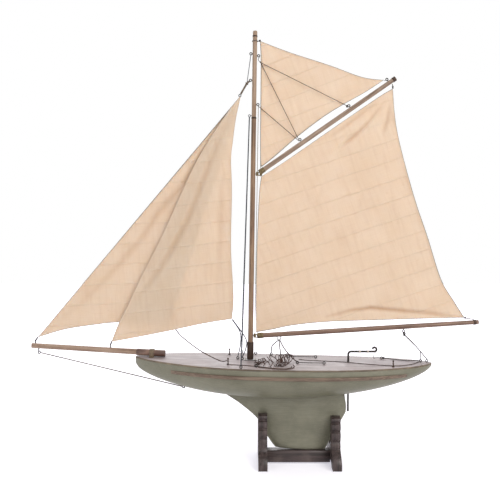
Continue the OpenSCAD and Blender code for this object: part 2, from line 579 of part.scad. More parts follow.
module gaff_halyards() color("#7a5a48") {
    bar(mast_at(eye_high - below_eye, hinge_off) + [0, -1.3, 0], fork, 0.6);
    translate(fork) sphere(r = 0.9);
    bar(fork, gaff_at(gaff_eye_at[1] - 2.4, gaff_d / 2 + eye_top) + [0, eye_y, 0], 0.6);
    bar(fork, gaff_at(gaff_eye_at[0] - 2.4, gaff_d / 2 + eye_top + 1) + [0, eye_y, 0], 0.6);
    bar(mast_at(eye_low - below_eye, hinge_off) + [0, -1.3, 0],
        gaff_at(gaff_eye_at[0] - 3.6, gaff_d / 2 + eye_top - 1.2) + [0, eye_y, 0], 0.6);
    bar(mast_at(eye_low - below_eye, hinge_off) + [0, -0.6, 0], mast_at(gaff_hinge + 6, hinge_off), 0.5);
}
head_ring = [-33, 0, 808.8];
jib_head = [-34.2, 805.5];
jib_clew = [-187, 312];
jib_luff = [jib_tack, jib_head];
jib_leech = [jib_clew, [-141, 455], [-87, 620], jib_head + [2, 0]];
jib_foot = [jib_tack, [-423, 296], [-366, 305], [-301, 311.5], jib_clew];
module jib() color("#e4cbb0")
    sail(jib_luff, jib_leech, jib_foot, [jib_head, jib_head + [2, 0]], 12, 16, 5, 1.2, 9);
stay_head = [-33.6, 805.3];
stay_clew = [-51, 320.5];
stay_luff = [stay_tack, [-301, 311], [-281.4, 349], [-250, 414], [-219, 472], [-193, 525.5],
    [-129, 664], [-66, 764], stay_head];
stay_leech = [stay_clew, [-47.4, 371], [-52.6, 475], [-50.6, 602], [-52.4, 672],
    [-48, 713], [-41.5, 760], stay_head + [2, 0]];
stay_foot = [stay_tack, [-250, 282], [-188, 294.5], [-113, 310.5], stay_clew];
module staysail() color("#e8cfb4")
    sail(stay_luff, stay_leech, stay_foot, [stay_head, stay_head + [2, 0]], 12, 18, -6, -1.2);
head_eye = mast_at(eye_head, -topmast_d / 2 - eye_top);
module headsail_halyard() color("#84786c") {
    translate(head_ring) rotate([90, 0, 0]) ring(2.4, 0.9);
    bar(head_ring + [1.9, 0, 3.25], [-17.7, 0, 835], 1.5);
    translate([-17.7, 0, 835]) sphere(r = 2.7);
    bar([-17.7, 0, 835], head_eye + [-2.6, 0, -2.3], 1.2);
    bar([-17.7, 0, 835], mast_at(eye_fore, -topmast_d / 2 - eye_top) + [-0.4, 0, -3.4], 0.5);
}

// sheets and loose lines
clip_low = boom_at(clip_l + 1, -boom_d / 2 - 13);
stern_eye = [381, 0, deck_z(381) + eye_top + eye_out];
sheet_eye = [367, 0, deck_z(367) + eye_top + eye_out];
split = [364.5, -1, 250];
module main_sheet() color("#5c534c") {
    cord([clip_low + [1, 1.4, 0], [348, 1.4, 268.5], [366, 1, 248.5], stern_eye + [0, 1, 0.5]], cord_d, 6);
    cord([clip_low + [0, -1.2, 0], [347, -1.4, 268], split, [366.6, -1, 240],
        sheet_eye + [0, -0.6, 0.5]], cord_d, 7);
}
module boom_falls() color("#6a6058") {
    cord([boom_at(staple_l - 2, -boom_d / 2 - 8.3), [41.5, 10, 262], [38.5, 36, 251],
        [38, 62, deck_z(38, 62) + eye_top + eye_out + 0.7]], cord_d, 6, [1, 0, 0]);
    cord([boom_at(staple_l, -boom_d / 2 - 8.4), [54.5, -13, 258], [56, -26, 245], [56.5, -29, 236],
        [57, -29, on_deck_z(57, -29) + 0.6]], cord_d, 7, [1, 0, 0]);
    cord([boom_at(staple_l + 2, -boom_d / 2 - 8.3), [65, 1, 254], [79, -5, 238], [88, -10, 230],
        [95, -12, on_deck_z(95, -12)]], cord_d, 7, [0, 1, 0]);
}
// the sheet's tail lies in a ring of curls behind the mast
heap_c = [41, -29];
heap_a = 34;
heap_b = 17;
heap_curls = 20;
curl_r = 7.8;
curl_rings = 8;
function heap_at(a) =
    let (ph = 345 * a / (360 * heap_curls), w = 1 + 0.1 * sin(2 * ph + 30) + 0.05 * sin(7 * ph))
    let (r = curl_r * (0.8 + 0.3 * cos(ph - 20)) + 1.2 * sin(5 * ph), lean = 4 * sin(2 * ph + 50) * sin(a))
    let (x = heap_c[0] + (heap_a * w + r * cos(a)) * cos(ph) - lean * sin(ph))
    let (y = heap_c[1] + (heap_b * w + r * cos(a)) * sin(ph) + lean * cos(ph))
    [x, y, on_deck_z(x, y) + r * (1 + sin(a))];
heap_pts = [for (k = [0:curl_rings * heap_curls]) heap_at(360 * k / curl_rings)];
heap_last = len(heap_pts) - 1;
heap_gap = min([for (i = [0:heap_last]) for (j = [i + 4:1:heap_last])
    norm(heap_pts[i] - heap_pts[j])]) - cord_d;
echo(least_gap_in_the_heap = heap_gap);
module sheet_coil() color("#5a4640") tube(heap_pts, cord_d, 6, [0.2, 0.3, 1]);
module staysail_sheets() color("#6a6460") {
    cord([[-50.8, -1.2, 319.3], [-33, -1.5, 291], [-32.5, 0, 262],
        [-38, 2, deck_z(-38) + eye_top + eye_out + 0.5]], cord_d, 7);
    cord([[-49.4, -2.6, 319], [-20.5, -9, 278], [-20.5, -9, 255],
        [plate_eye_x, -4, deck_z(plate_eye_x, -4) + eye_top + eye_out + 0.5]], cord_d, 7);
}
module jib_sheet() color("#6a6460")
    cord([[-186.2, 10.2, 311], [-177, 7, 297], [-164, 1, 282.5], [-138, -15, 265], [-112, -30, 251],
        [-76, -47, 237], [-60.3, -52, 238]], cord_d, 12, [0, 0, 1]);
deck_line_at = [[98, 14], [120, 6], [160, 0], [184, -4], [214, -14], [246, -26], [280, -36], [314, -38],
    [340, -26], [356, -10], [363.2, -0.6]];
edge_line_at = [[-55.2, -54.4], [-38, -56], [-20, -57.5], [3, -63], [22, -69.5], [40, -74], [58, -76.5],
    [72, -74], [81, -66], [84, -55]];
edge_tail_at = [[2 + eye_out + 1.1, -68.4], [22, -73.5], [40, -78], [60, -80.3], [77, -77.5],
    [88, -67], [92, -54], [91, -42]];
function on_deck_z(x, y) = deck_z(x, y) + gap + cord_d / 2;
module on_deck(at, rings) cord([for (p = at) [p[0], p[1], on_deck_z(p[0], p[1])]], cord_d, rings, [0, 0, 1]);
module deck_line() color("#6b5a58") {
    on_deck(deck_line_at, 20);
    on_deck(edge_line_at, 20);
    on_deck(edge_tail_at, 14);
}
loop_low = [rudder_x + 60, 0, tiller_z - tiller_d / 2 - 1];
module steering_line() color("#4b4440") {
    cord([loop_low, [264, 4, 238], [266, 14, 229.5], [276, 22, 230],
        [286 - eye_out - 0.4, 29.6, deck_z(286, 30) + eye_top]], 1.3, 8, [1, 0, 0]);
    cord([[286 + eye_out + 0.5, 29.5, deck_z(286, 30) + eye_top], [310, 20, 226], [338, 9, 225.4],
        [355, 3, 226.4], [367 - eye_out - 0.4, 0.4, sheet_eye[2] - 3]], 2.2, 7, [0, 0, 1]);
}

// stand
fore_board_x = 6.8;
aft_board_x = 166.5;
slot = fin_t / 2 + 1.3;
slot_z = 40;
aft_drop = 6;
// half of the sawn outline of an end board: three stepped scrolls over a spread foot
function side_edge(top) = [[slot, slot_z], [slot, top - 2], [slot + 2, top], [29, top], [33, top - 2],
    [34.5, top - 6], [32, top - 10], [31.5, top - 12], [35.5, top - 14.5], [37, top - 19],
    [35.5, top - 25], [32, top - 29], [31.5, top - 31], [35.5, top - 34], [37, top - 39], [35, top - 48],
    [32, top - 52], [31.5, top - 55], [34, top - 58.5], [34.5, top - 63], [33.5, top - 69], [35.5, 37.5],
    [42, 32], [52, 25.5], [foot_y - 2, 17], [foot_y, 10], [foot_y, 0], [foot_y - 24, 0], [foot_y - 27, 5],
    [foot_y - 34, 9]];
module end_board(x, top) translate([x, 0, 0]) rotate([90, 0, 90]) difference() {
    half = side_edge(top);
    linear_extrude(height = board_t)
        polygon(concat(half, [for (i = [len(half) - 1:-1:0]) [-half[i][0], half[i][1]]]));
    translate([-rail_w / 4 - 0.05, rail_z - 17.05, -1]) cube([rail_w / 2 + 0.1, 10.1, board_t + 2]);
}
module fore_board() color("#4a3c3a") end_board(fore_board_x, horn_z);
module aft_board() color("#4a3c3a") end_board(aft_board_x, horn_z - aft_drop);
module stretcher() color("#503f3c") {
    a = fore_board_x + board_t + 0.1;
    l = aft_board_x - a - 0.1;
    w = rail_w / 2;
    translate([a, 0, 0]) rotate([90, 0, 90]) linear_extrude(height = l)
        polygon([[-w, 2.5], [w, 2.5], [w, rail_z - 4], [w - 2.5, rail_z], [2.5 - w, rail_z],
            [-w, rail_z - 4]]);
    translate([fore_board_x, -rail_w / 4, rail_z - 17]) cube([l + 2 * board_t + 0.2, rail_w / 2, 10]);
}

hull_shell();
deck();
fin_keel();
ballast_lead();
keel_bolts();
rubbing_strakes();
bowsprit();
bowsprit_socket();
bowsprit_strap();
deck_screws();
sprit_hooks();
bobstay();
bobstay_eye();
mast_plate();
mast_tube();
lower_mast();
mast_ferrule();
topmast();
mast_eyes();
masthead_band();
topsail_strop();
shroud_strop();
shrouds();
deck_eyes();
jackstays();
bollards();
rudder_tube();
tiller();
tiller_bands();
mast_lugs();
boom_jaw();
gaff_jaw();
boom_pin();
gaff_pin();
boom();
boom_band();
boom_staple();
sheet_clip();
gaff();
gaff_cap();
gaff_eyes();
mainsail();
mainsail_lashings();
luff_cord();
topsail();
topsail_lashings();
gaff_halyards();
jib();
staysail();
headsail_halyard();
main_sheet();
boom_falls();
sheet_coil();
staysail_sheets();
jib_sheet();
deck_line();
steering_line();
fore_board();
aft_board();
stretcher();
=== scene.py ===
import bpy
import bmesh
import json
from math import pi, sin, cos, radians, sqrt, exp, hypot, acos, ceil
from mathutils import Vector, Matrix, noise
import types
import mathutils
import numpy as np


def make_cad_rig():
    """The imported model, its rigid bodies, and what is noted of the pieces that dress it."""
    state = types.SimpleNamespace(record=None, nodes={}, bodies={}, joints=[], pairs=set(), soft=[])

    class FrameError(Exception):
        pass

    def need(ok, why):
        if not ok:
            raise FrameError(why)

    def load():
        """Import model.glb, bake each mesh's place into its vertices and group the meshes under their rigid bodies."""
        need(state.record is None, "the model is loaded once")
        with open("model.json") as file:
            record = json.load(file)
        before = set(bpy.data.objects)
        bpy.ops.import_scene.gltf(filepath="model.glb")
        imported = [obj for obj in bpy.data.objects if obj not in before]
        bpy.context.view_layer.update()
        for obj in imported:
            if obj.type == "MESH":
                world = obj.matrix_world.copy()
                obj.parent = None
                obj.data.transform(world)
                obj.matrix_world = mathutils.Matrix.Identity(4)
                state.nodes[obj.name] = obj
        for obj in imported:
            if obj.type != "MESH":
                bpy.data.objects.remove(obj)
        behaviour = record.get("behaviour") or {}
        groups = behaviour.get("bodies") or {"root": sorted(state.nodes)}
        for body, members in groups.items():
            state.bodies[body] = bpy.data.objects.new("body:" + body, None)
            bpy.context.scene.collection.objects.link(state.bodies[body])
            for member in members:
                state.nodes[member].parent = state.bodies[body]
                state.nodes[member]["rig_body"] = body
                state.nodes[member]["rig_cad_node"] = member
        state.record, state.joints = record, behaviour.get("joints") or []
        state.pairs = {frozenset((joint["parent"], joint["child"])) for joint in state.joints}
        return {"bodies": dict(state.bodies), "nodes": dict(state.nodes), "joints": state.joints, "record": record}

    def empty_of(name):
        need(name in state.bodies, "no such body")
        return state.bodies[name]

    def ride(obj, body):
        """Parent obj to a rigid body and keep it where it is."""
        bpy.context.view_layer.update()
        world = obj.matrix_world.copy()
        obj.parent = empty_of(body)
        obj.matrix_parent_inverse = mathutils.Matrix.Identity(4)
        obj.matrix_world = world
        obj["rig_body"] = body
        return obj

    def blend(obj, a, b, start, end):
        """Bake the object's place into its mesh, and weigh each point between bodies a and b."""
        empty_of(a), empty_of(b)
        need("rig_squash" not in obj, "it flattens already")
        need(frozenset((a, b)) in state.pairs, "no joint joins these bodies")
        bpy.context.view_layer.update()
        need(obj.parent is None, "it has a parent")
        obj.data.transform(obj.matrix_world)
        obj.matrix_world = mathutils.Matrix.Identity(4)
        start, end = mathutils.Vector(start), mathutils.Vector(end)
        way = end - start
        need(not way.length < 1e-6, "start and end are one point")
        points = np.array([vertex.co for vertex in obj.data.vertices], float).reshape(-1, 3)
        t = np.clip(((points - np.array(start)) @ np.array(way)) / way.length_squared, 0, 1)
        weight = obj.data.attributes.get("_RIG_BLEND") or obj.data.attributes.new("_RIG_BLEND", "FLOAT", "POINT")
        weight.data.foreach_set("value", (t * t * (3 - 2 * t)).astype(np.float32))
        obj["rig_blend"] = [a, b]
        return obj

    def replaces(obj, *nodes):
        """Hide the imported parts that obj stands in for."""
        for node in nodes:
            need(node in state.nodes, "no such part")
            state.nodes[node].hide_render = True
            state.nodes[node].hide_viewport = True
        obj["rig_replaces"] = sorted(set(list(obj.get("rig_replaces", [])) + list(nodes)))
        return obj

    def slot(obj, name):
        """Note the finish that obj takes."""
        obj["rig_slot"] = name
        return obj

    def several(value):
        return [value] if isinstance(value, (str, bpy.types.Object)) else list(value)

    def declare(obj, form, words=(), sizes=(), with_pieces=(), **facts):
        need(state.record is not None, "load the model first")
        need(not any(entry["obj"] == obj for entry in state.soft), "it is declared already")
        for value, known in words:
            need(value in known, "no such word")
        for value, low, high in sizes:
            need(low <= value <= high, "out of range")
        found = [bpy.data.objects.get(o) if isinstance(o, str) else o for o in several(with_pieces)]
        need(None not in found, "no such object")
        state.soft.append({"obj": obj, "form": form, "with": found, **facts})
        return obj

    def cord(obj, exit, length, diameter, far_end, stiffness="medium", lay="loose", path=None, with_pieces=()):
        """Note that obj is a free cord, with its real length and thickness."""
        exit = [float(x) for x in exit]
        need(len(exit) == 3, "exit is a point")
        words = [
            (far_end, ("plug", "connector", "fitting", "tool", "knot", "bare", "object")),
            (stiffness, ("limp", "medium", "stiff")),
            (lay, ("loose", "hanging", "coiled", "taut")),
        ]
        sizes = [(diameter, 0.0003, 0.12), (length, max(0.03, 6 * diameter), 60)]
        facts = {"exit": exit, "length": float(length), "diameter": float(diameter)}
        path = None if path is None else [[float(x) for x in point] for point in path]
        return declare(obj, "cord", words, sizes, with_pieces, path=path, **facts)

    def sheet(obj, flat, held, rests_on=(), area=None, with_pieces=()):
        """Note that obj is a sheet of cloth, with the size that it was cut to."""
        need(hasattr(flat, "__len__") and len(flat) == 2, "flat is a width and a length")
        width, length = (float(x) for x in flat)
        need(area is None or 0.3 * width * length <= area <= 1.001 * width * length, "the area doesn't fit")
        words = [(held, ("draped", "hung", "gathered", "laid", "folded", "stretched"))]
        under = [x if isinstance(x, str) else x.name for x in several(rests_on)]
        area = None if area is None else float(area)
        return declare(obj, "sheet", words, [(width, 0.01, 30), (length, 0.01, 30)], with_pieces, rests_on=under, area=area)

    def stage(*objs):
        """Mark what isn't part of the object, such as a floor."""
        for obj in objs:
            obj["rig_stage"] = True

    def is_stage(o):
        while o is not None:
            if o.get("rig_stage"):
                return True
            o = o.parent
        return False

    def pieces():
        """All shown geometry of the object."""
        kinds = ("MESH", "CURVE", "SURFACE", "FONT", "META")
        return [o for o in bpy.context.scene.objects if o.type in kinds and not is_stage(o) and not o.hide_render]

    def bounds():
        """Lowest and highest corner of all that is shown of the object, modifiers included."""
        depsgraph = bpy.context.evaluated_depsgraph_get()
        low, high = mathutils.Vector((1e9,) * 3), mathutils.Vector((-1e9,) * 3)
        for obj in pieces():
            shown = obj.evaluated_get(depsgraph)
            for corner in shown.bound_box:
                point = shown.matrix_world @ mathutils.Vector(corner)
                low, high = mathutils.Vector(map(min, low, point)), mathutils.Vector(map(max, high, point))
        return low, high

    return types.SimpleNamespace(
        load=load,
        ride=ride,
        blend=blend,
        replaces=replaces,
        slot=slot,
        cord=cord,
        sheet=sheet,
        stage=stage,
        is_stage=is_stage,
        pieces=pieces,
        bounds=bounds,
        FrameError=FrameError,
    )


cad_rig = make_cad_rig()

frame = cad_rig.load()
nodes = frame["nodes"]
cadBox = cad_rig.bounds()
scene = bpy.context.scene
scene.view_settings.view_transform = "Standard"
print("frame:", len(nodes), "nodes on", len(frame["bodies"]), "bodies")

# camera, fitted to the masthead, both deck edges and the stand's feet
shot = {"place": (-0.011, -1.4982, 0.5459), "down": 2.8, "lens": 49.09, "sensor": 36}
lens = bpy.data.cameras.new("photoLens")
lens.sensor_fit = "HORIZONTAL"
lens.sensor_width = shot["sensor"]
lens.lens = shot["lens"]
viewer = bpy.data.objects.new("photoCamera", lens)
viewer.location = shot["place"]
viewer.rotation_euler = (radians(90 - shot["down"]), 0, 0)
scene.collection.objects.link(viewer)
scene.camera = viewer
print("camera set")


# sRGB hex to the linear colour that Blender's sockets take
def toLinear(code):
    parts = [int(code[k:k + 2], 16) / 255 for k in (1, 3, 5)]
    return [c / 12.92 if c <= 0.04045 else ((c + 0.055) / 1.055) ** 2.4 for c in parts] + [1.0]


# adds one node with its inputs, by name or in order, and its settings; an input is a value, a hex colour,
# a socket, or a node for its main output
def addNode(tree, kind, inputs=(), **settings):
    node = tree.nodes.new("ShaderNode" + kind)
    for key, value in settings.items():
        if key == "stops":
            bar = node.color_ramp.elements
            while len(bar) < len(value):
                bar.new(0.5)
            for stop, (at, colour) in zip(bar, value):
                stop.position = at
                stop.color = toLinear(colour)
        else:
            setattr(node, key, value)
    for key, value in inputs.items() if isinstance(inputs, dict) else enumerate(inputs):
        if isinstance(value, bpy.types.Node):
            value = value.outputs[2 if value.bl_idname == "ShaderNodeMix" else 0]
        if isinstance(value, bpy.types.NodeSocket):
            tree.links.new(value, node.inputs[key])
        else:
            node.inputs[key].default_value = toLinear(value) if isinstance(value, str) else value
    return node


# Mix has its share at input 0 and its colours at 6 and 7;
# Map Range takes a value, its two ends and what they become
blended = {"data_type": "RGBA"}
darkened = {"data_type": "RGBA", "blend_type": "MULTIPLY"}
overlaid = {"data_type": "RGBA", "blend_type": "OVERLAY"}


def startMaterial(name):
    mat = bpy.data.materials.new(name)
    mat.use_nodes = True
    mat.node_tree.nodes.clear()
    return mat, mat.node_tree, addNode(mat.node_tree, "TexCoord")


def finishMaterial(mat, surface):
    shader = addNode(mat.node_tree, "BsdfPrincipled", surface)
    addNode(mat.node_tree, "OutputMaterial", {"Surface": shader})
    return mat


# Oil paint brushed on pine and left for a century: chalky, streaked along the hull, rubbed through on edges
def agedPaint(name, look):
    mat, tree, coords = startMaterial(name)
    spots = coords.outputs["Object"]
    cloudy = addNode(tree, "TexNoise", {"Vector": spots, "Scale": 1000 / look["cloudMm"], "Detail": 5.0})
    run = addNode(tree, "Mapping", {"Vector": spots, "Scale": (0.06, 1, 1)})
    streak = addNode(tree, "TexNoise", {
        "Vector": run, "Scale": 1000 / look["streakMm"], "Detail": 3.0, "Roughness": 0.6})
    grit = addNode(tree, "TexNoise", {"Vector": spots, "Scale": 1000 / look["gritMm"], "Detail": 2.0})
    tone = addNode(tree, "ValToRGB", {"Fac": cloudy},
                   stops=[(0.3, look["dark"]), (0.5, look["main"]), (0.72, look["pale"])])
    # the brush lines only change how light it is, so the overlay is fed a grey
    grey = addNode(tree, "RGBToBW", {"Color": streak.outputs["Color"]})
    brushed = addNode(tree, "Mix", {0: 0.34, 6: tone, 7: grey}, **overlaid)
    flecks = addNode(tree, "MapRange", [grit, 0.66, 0.74, 0.0, 0.5])
    chalky = addNode(tree, "Mix", {0: flecks, 6: brushed, 7: look["fleck"]}, **blended)
    # the rubbed value is wear; on the fin it also carries painted shade in the corner under the hull
    rub = addNode(tree, "Attribute", attribute_name="rubbed")
    ragged = addNode(tree, "Math", [cloudy, 0.9, rub.outputs["Fac"]], operation="MULTIPLY_ADD")
    bare = addNode(tree, "MapRange", [ragged, 0.86, 1.12, 0.0, 0.85])
    worn = addNode(tree, "Mix", {0: bare, 6: chalky, 7: look["under"]}, **blended)
    dull = addNode(tree, "MapRange", [cloudy, 0.3, 0.7, 0.36, 0.54])
    relief = addNode(tree, "Bump", {"Strength": 0.25, "Distance": 0.0004, "Height": grey})
    return finishMaterial(mat, {"Base Color": worn, "Roughness": dull, "Normal": relief, "IOR": 1.47})


# Varnished softwood: fine grain running one way, darker growth rings, a dull amber film
def timber(name, look):
    mat, tree, coords = startMaterial(name)
    turn = addNode(tree, "Mapping", {"Vector": coords.outputs["Object"], "Rotation": look["turn"]})
    fibre = addNode(tree, "Mapping", {"Vector": turn, "Scale": (0.035, 1, 1)})
    grain = addNode(tree, "TexNoise", {
        "Vector": fibre, "Scale": 1000 / look["grainMm"], "Detail": 4.0, "Roughness": 0.6})
    rings = addNode(tree, "TexNoise", {
        "Vector": fibre, "Scale": 1000 / look["ringMm"], "Detail": 2.0, "Distortion": 0.6})
    pores = addNode(tree, "TexNoise", {"Vector": fibre, "Scale": 1000 / look["poreMm"], "Detail": 1.0})
    blotch = addNode(tree, "TexNoise", {"Vector": turn, "Scale": 28.0, "Detail": 4.0})  # about 36 mm
    tone = addNode(tree, "ValToRGB", {"Fac": rings},
                   stops=[(0.32, look["dark"]), (0.52, look["main"]), (0.7, look["pale"])])
    fine = addNode(tree, "MapRange", [grain, 0.35, 0.65, look["contrast"], 0.0])
    grained = addNode(tree, "Mix", {0: fine, 6: tone, 7: look["dark"]}, **darkened)
    dots = addNode(tree, "MapRange", [pores, 0.64, 0.72, 0.0, 0.45])
    pored = addNode(tree, "Mix", {0: dots, 6: grained, 7: look["dark"]}, **blended)
    patchy = addNode(tree, "MapRange", [blotch, 0.45, 0.75, 0.0, look["faded"]])
    aged = addNode(tree, "Mix", {0: patchy, 6: pored, 7: look["pale"]}, **blended)
    rub = addNode(tree, "Attribute", attribute_name="rubbed")
    ragged = addNode(tree, "Math", [blotch, 0.8, rub.outputs["Fac"]], operation="MULTIPLY_ADD")
    bare = addNode(tree, "MapRange", [ragged, 0.85, 1.2, 0.0, 0.8])
    worn = addNode(tree, "Mix", {0: bare, 6: aged, 7: look["worn"]}, **blended)
    dull = addNode(tree, "MapRange", [blotch, 0.3, 0.75, look["gloss"], look["gloss"] + 0.22])
    relief = addNode(tree, "Bump", {"Strength": 0.3, "Distance": 0.0003, "Height": grain})
    return finishMaterial(mat, {"Base Color": worn, "Roughness": dull, "Normal": relief, "IOR": 1.5})


# Brass or iron fittings: metal under a brown oxide that is thinner on the high spots
def oldMetal(name, look):
    mat, tree, coords = startMaterial(name)
    spots = coords.outputs["Object"]
    oxide = addNode(tree, "TexNoise", {
        "Vector": spots, "Scale": 1000 / look["spotMm"], "Detail": 5.0, "Roughness": 0.65})
    pits = addNode(tree, "TexNoise", {"Vector": spots, "Scale": 2500.0, "Detail": 2.0})  # 0.4 mm
    grey = addNode(tree, "RGBToBW", {"Color": pits.outputs["Color"]})
    cover = addNode(tree, "MapRange", [oxide, look["from"], look["to"], 0.0, 1.0])
    tint = addNode(tree, "Mix", {0: cover, 6: look["bright"], 7: look["oxide"]}, **blended)
    speck = addNode(tree, "Mix", {0: 0.25, 6: tint, 7: grey}, **darkened)
    shine = addNode(tree, "MapRange", [cover, 0.0, 1.0, look["polished"], 0.35])
    dull = addNode(tree, "MapRange", [oxide, 0.3, 0.7, look["smooth"], 0.65])
    relief = addNode(tree, "Bump", {"Strength": 0.2, "Distance": 0.0002, "Height": pits})
    return finishMaterial(mat, {"Base Color": speck, "Metallic": shine, "Roughness": dull, "Normal": relief})


# Unbleached plain-weave cotton, yellowed, sewn of narrow cloths; the UV map is in metres along the cloth.
# The real threads are 0.4 mm apart, too fine for the picture, so they are drawn every threadMm
def sailCotton(name, look):
    mat, tree, coords = startMaterial(name)
    flat = coords.outputs["UV"]
    warp = addNode(tree, "Mapping", {"Vector": flat, "Scale": (0.03, 1, 1)})
    weft = addNode(tree, "Mapping", {"Vector": flat, "Scale": (1, 0.03, 1)})
    across, downward = (
        addNode(tree, "TexNoise", {"Vector": way, "Scale": 1000 / look["threadMm"], "Detail": 2.0})
        for way in (warp, weft))
    woven = addNode(tree, "Math", [across, downward], operation="ADD")
    # stains about 70 mm wide, foxing about 18 mm apart, and uneven yarn as broad streaks up the cloth
    stain = addNode(tree, "TexNoise", {"Vector": flat, "Scale": 14.0, "Detail": 6.0, "Roughness": 0.55})
    foxing = addNode(tree, "TexNoise", {"Vector": flat, "Scale": 55.0, "Detail": 3.0})
    bands = addNode(tree, "Mapping", {"Vector": flat, "Scale": (1, 0.1, 1)})
    yarn = addNode(tree, "TexNoise", {"Vector": bands, "Scale": 1000 / look["yarnMm"], "Detail": 3.0})
    tone = addNode(tree, "ValToRGB", {"Fac": stain},
                   stops=[(0.3, look["dark"]), (0.5, look["main"]), (0.72, look["pale"])])
    thread = addNode(tree, "MapRange", [woven, 0.7, 1.3, look["weave"], 0.0])
    cloth = addNode(tree, "Mix", {0: thread, 6: tone, 7: look["thread"]}, **darkened)
    streaks = addNode(tree, "MapRange", [yarn, 0.5, 0.7, 0.0, look["streak"]])
    streaked = addNode(tree, "Mix", {0: streaks, 6: cloth, 7: look["thread"]}, **darkened)
    dots = addNode(tree, "MapRange", [foxing, 0.68, 0.8, 0.0, 0.35])
    foxed = addNode(tree, "Mix", {0: dots, 6: streaked, 7: look["fox"]}, **blended)
    # a lapped seam every pitchMm and a hem round the edge: double cloth, with a row of stitches along it
    parts = addNode(tree, "SeparateXYZ", {"Vector": flat})
    upMm = addNode(tree, "Math", [parts.outputs["Y"], 1000.0], operation="MULTIPLY")
    fromSeam = addNode(tree, "Math", [upMm, look["pitchMm"] / 2], operation="PINGPONG")
    inset = addNode(tree, "Attribute", attribute_name="inset").outputs["Fac"]
    laps, gaps = [], []
    for inside, edge in ((fromSeam, look["lapMm"]), (inset, look["hemMm"])):
        laps.append(addNode(tree, "MapRange", [inside, edge, edge + 0.4, look["seamShade"], 0.0]))
        off = addNode(tree, "Math", [inside, edge], operation="SUBTRACT")
        gaps.append(addNode(tree, "Math", [off], operation="ABSOLUTE"))
    double = addNode(tree, "Math", laps, operation="MAXIMUM")
    sewn = addNode(tree, "Mix", {0: double, 6: foxed, 7: look["seam"]}, **blended)
    nearest = addNode(tree, "Math", gaps, operation="MINIMUM")
    onLine = addNode(tree, "MapRange", [nearest, 0.35, 0.9, look["stitchShade"], 0.0])
    slant = addNode(tree, "Math", [parts.outputs["X"], parts.outputs["Y"]], operation="ADD")
    beat = addNode(tree, "Math", [slant, 1000 / look["stitchMm"]], operation="MULTIPLY")
    dash = addNode(tree, "Math", [beat], operation="FRACT")
    broken = addNode(tree, "MapRange", [dash, 0.55, 0.75, 1.0, 0.45])
    stitch = addNode(tree, "Math", [onLine, broken], operation="MULTIPLY")
    stitched = addNode(tree, "Mix", {0: stitch, 6: sewn, 7: look["stitch"]}, **blended)
    # painted shade darkens the folds by their depth, in the yarn's darker colour, and the very edge is greyed
    fold = addNode(tree, "Attribute", attribute_name="fold")
    paintedFoldShade = addNode(tree, "MapRange", [fold.outputs["Fac"], 0.4, 7.0, 0.0, look["foldShade"]])
    foldShaded = addNode(tree, "Mix", {0: paintedFoldShade, 6: stitched, 7: look["thread"]}, **darkened)
    grime = addNode(tree, "MapRange", [inset, 1.5, 3.6, look["grime"], 0.0])
    marked = addNode(tree, "Mix", {0: grime, 6: foldShaded, 7: look["edge"]}, **blended)
    relief = addNode(tree, "Bump", {"Strength": 0.22, "Distance": 0.0004, "Height": woven})
    # thin cloth: light from behind comes through, less where it is double
    return finishMaterial(mat, {
        "Base Color": marked, "Normal": relief, "Roughness": 0.9, "Specular IOR Level": 0.2,
        "Subsurface Weight": 1.0, "Subsurface Radius": (1.0, 1.12, 1.3),
        "Subsurface Scale": look["freePathMm"] / 1000})


# Laid cotton or hemp line: the strands are in the mesh, this adds fibres of 0.7 mm and dirt
def laidLine(name, look):
    mat, tree, coords = startMaterial(name)
    way = addNode(tree, "Mapping", {"Vector": coords.outputs[look.get("by", "UV")], "Scale": (1, 0.25, 1)})
    fibre = addNode(tree, "TexNoise", {"Vector": way, "Scale": 1400.0, "Detail": 3.0})
    dirt = addNode(tree, "TexNoise", {"Vector": coords.outputs["Object"], "Scale": 70.0, "Detail": 3.0})
    tone = addNode(tree, "ValToRGB", {"Fac": dirt},
                   stops=[(0.3, look["dark"]), (0.55, look["main"]), (0.75, look["pale"])])
    fuzz = addNode(tree, "MapRange", [fibre, 0.35, 0.65, 0.4, 0.0])
    laid = addNode(tree, "Mix", {0: fuzz, 6: tone, 7: look["dark"]}, **darkened)
    relief = addNode(tree, "Bump", {"Strength": 0.3, "Distance": 0.0002, "Height": fibre})
    return finishMaterial(mat, {"Base Color": laid, "Normal": relief, "Roughness": 0.85})


hullPaint = agedPaint("oilPaintOnPine", {
    "dark": "#73715f", "main": "#817f6e", "pale": "#8e8c7c", "fleck": "#aaa592", "under": "#5d5448",
    "cloudMm": 70, "streakMm": 1.6, "gritMm": 2.2})
keelPaint = agedPaint("oilPaintOnKeel", {
    "dark": "#757363", "main": "#848271", "pale": "#918f7f", "fleck": "#a5a090", "under": "#5e5749",
    "cloudMm": 55, "streakMm": 1.8, "gritMm": 2.4})
deckVarnish = timber("fadedPineDeck", {
    "dark": "#8d8181", "main": "#aa9e9f", "pale": "#b7adae", "worn": "#bfb6b6", "turn": (0, 0, 0),
    "grainMm": 1.4, "ringMm": 7, "poreMm": 1.1, "contrast": 0.35, "faded": 0.4, "gloss": 0.45})
edgeStain = timber("stainedDeckEdge", {
    "dark": "#5c5044", "main": "#7c6e5e", "pale": "#948671", "worn": "#a69a86", "turn": (0, 0, 0),
    "grainMm": 1.2, "ringMm": 6, "poreMm": 1.0, "contrast": 0.4, "faded": 0.3, "gloss": 0.55})
strakeWood = timber("stainedStrake", {
    "dark": "#655245", "main": "#857162", "pale": "#9c8a79", "worn": "#938b7b", "turn": (0, 0, 0),
    "grainMm": 1.2, "ringMm": 5, "poreMm": 1.0, "contrast": 0.45, "faded": 0.3, "gloss": 0.5})
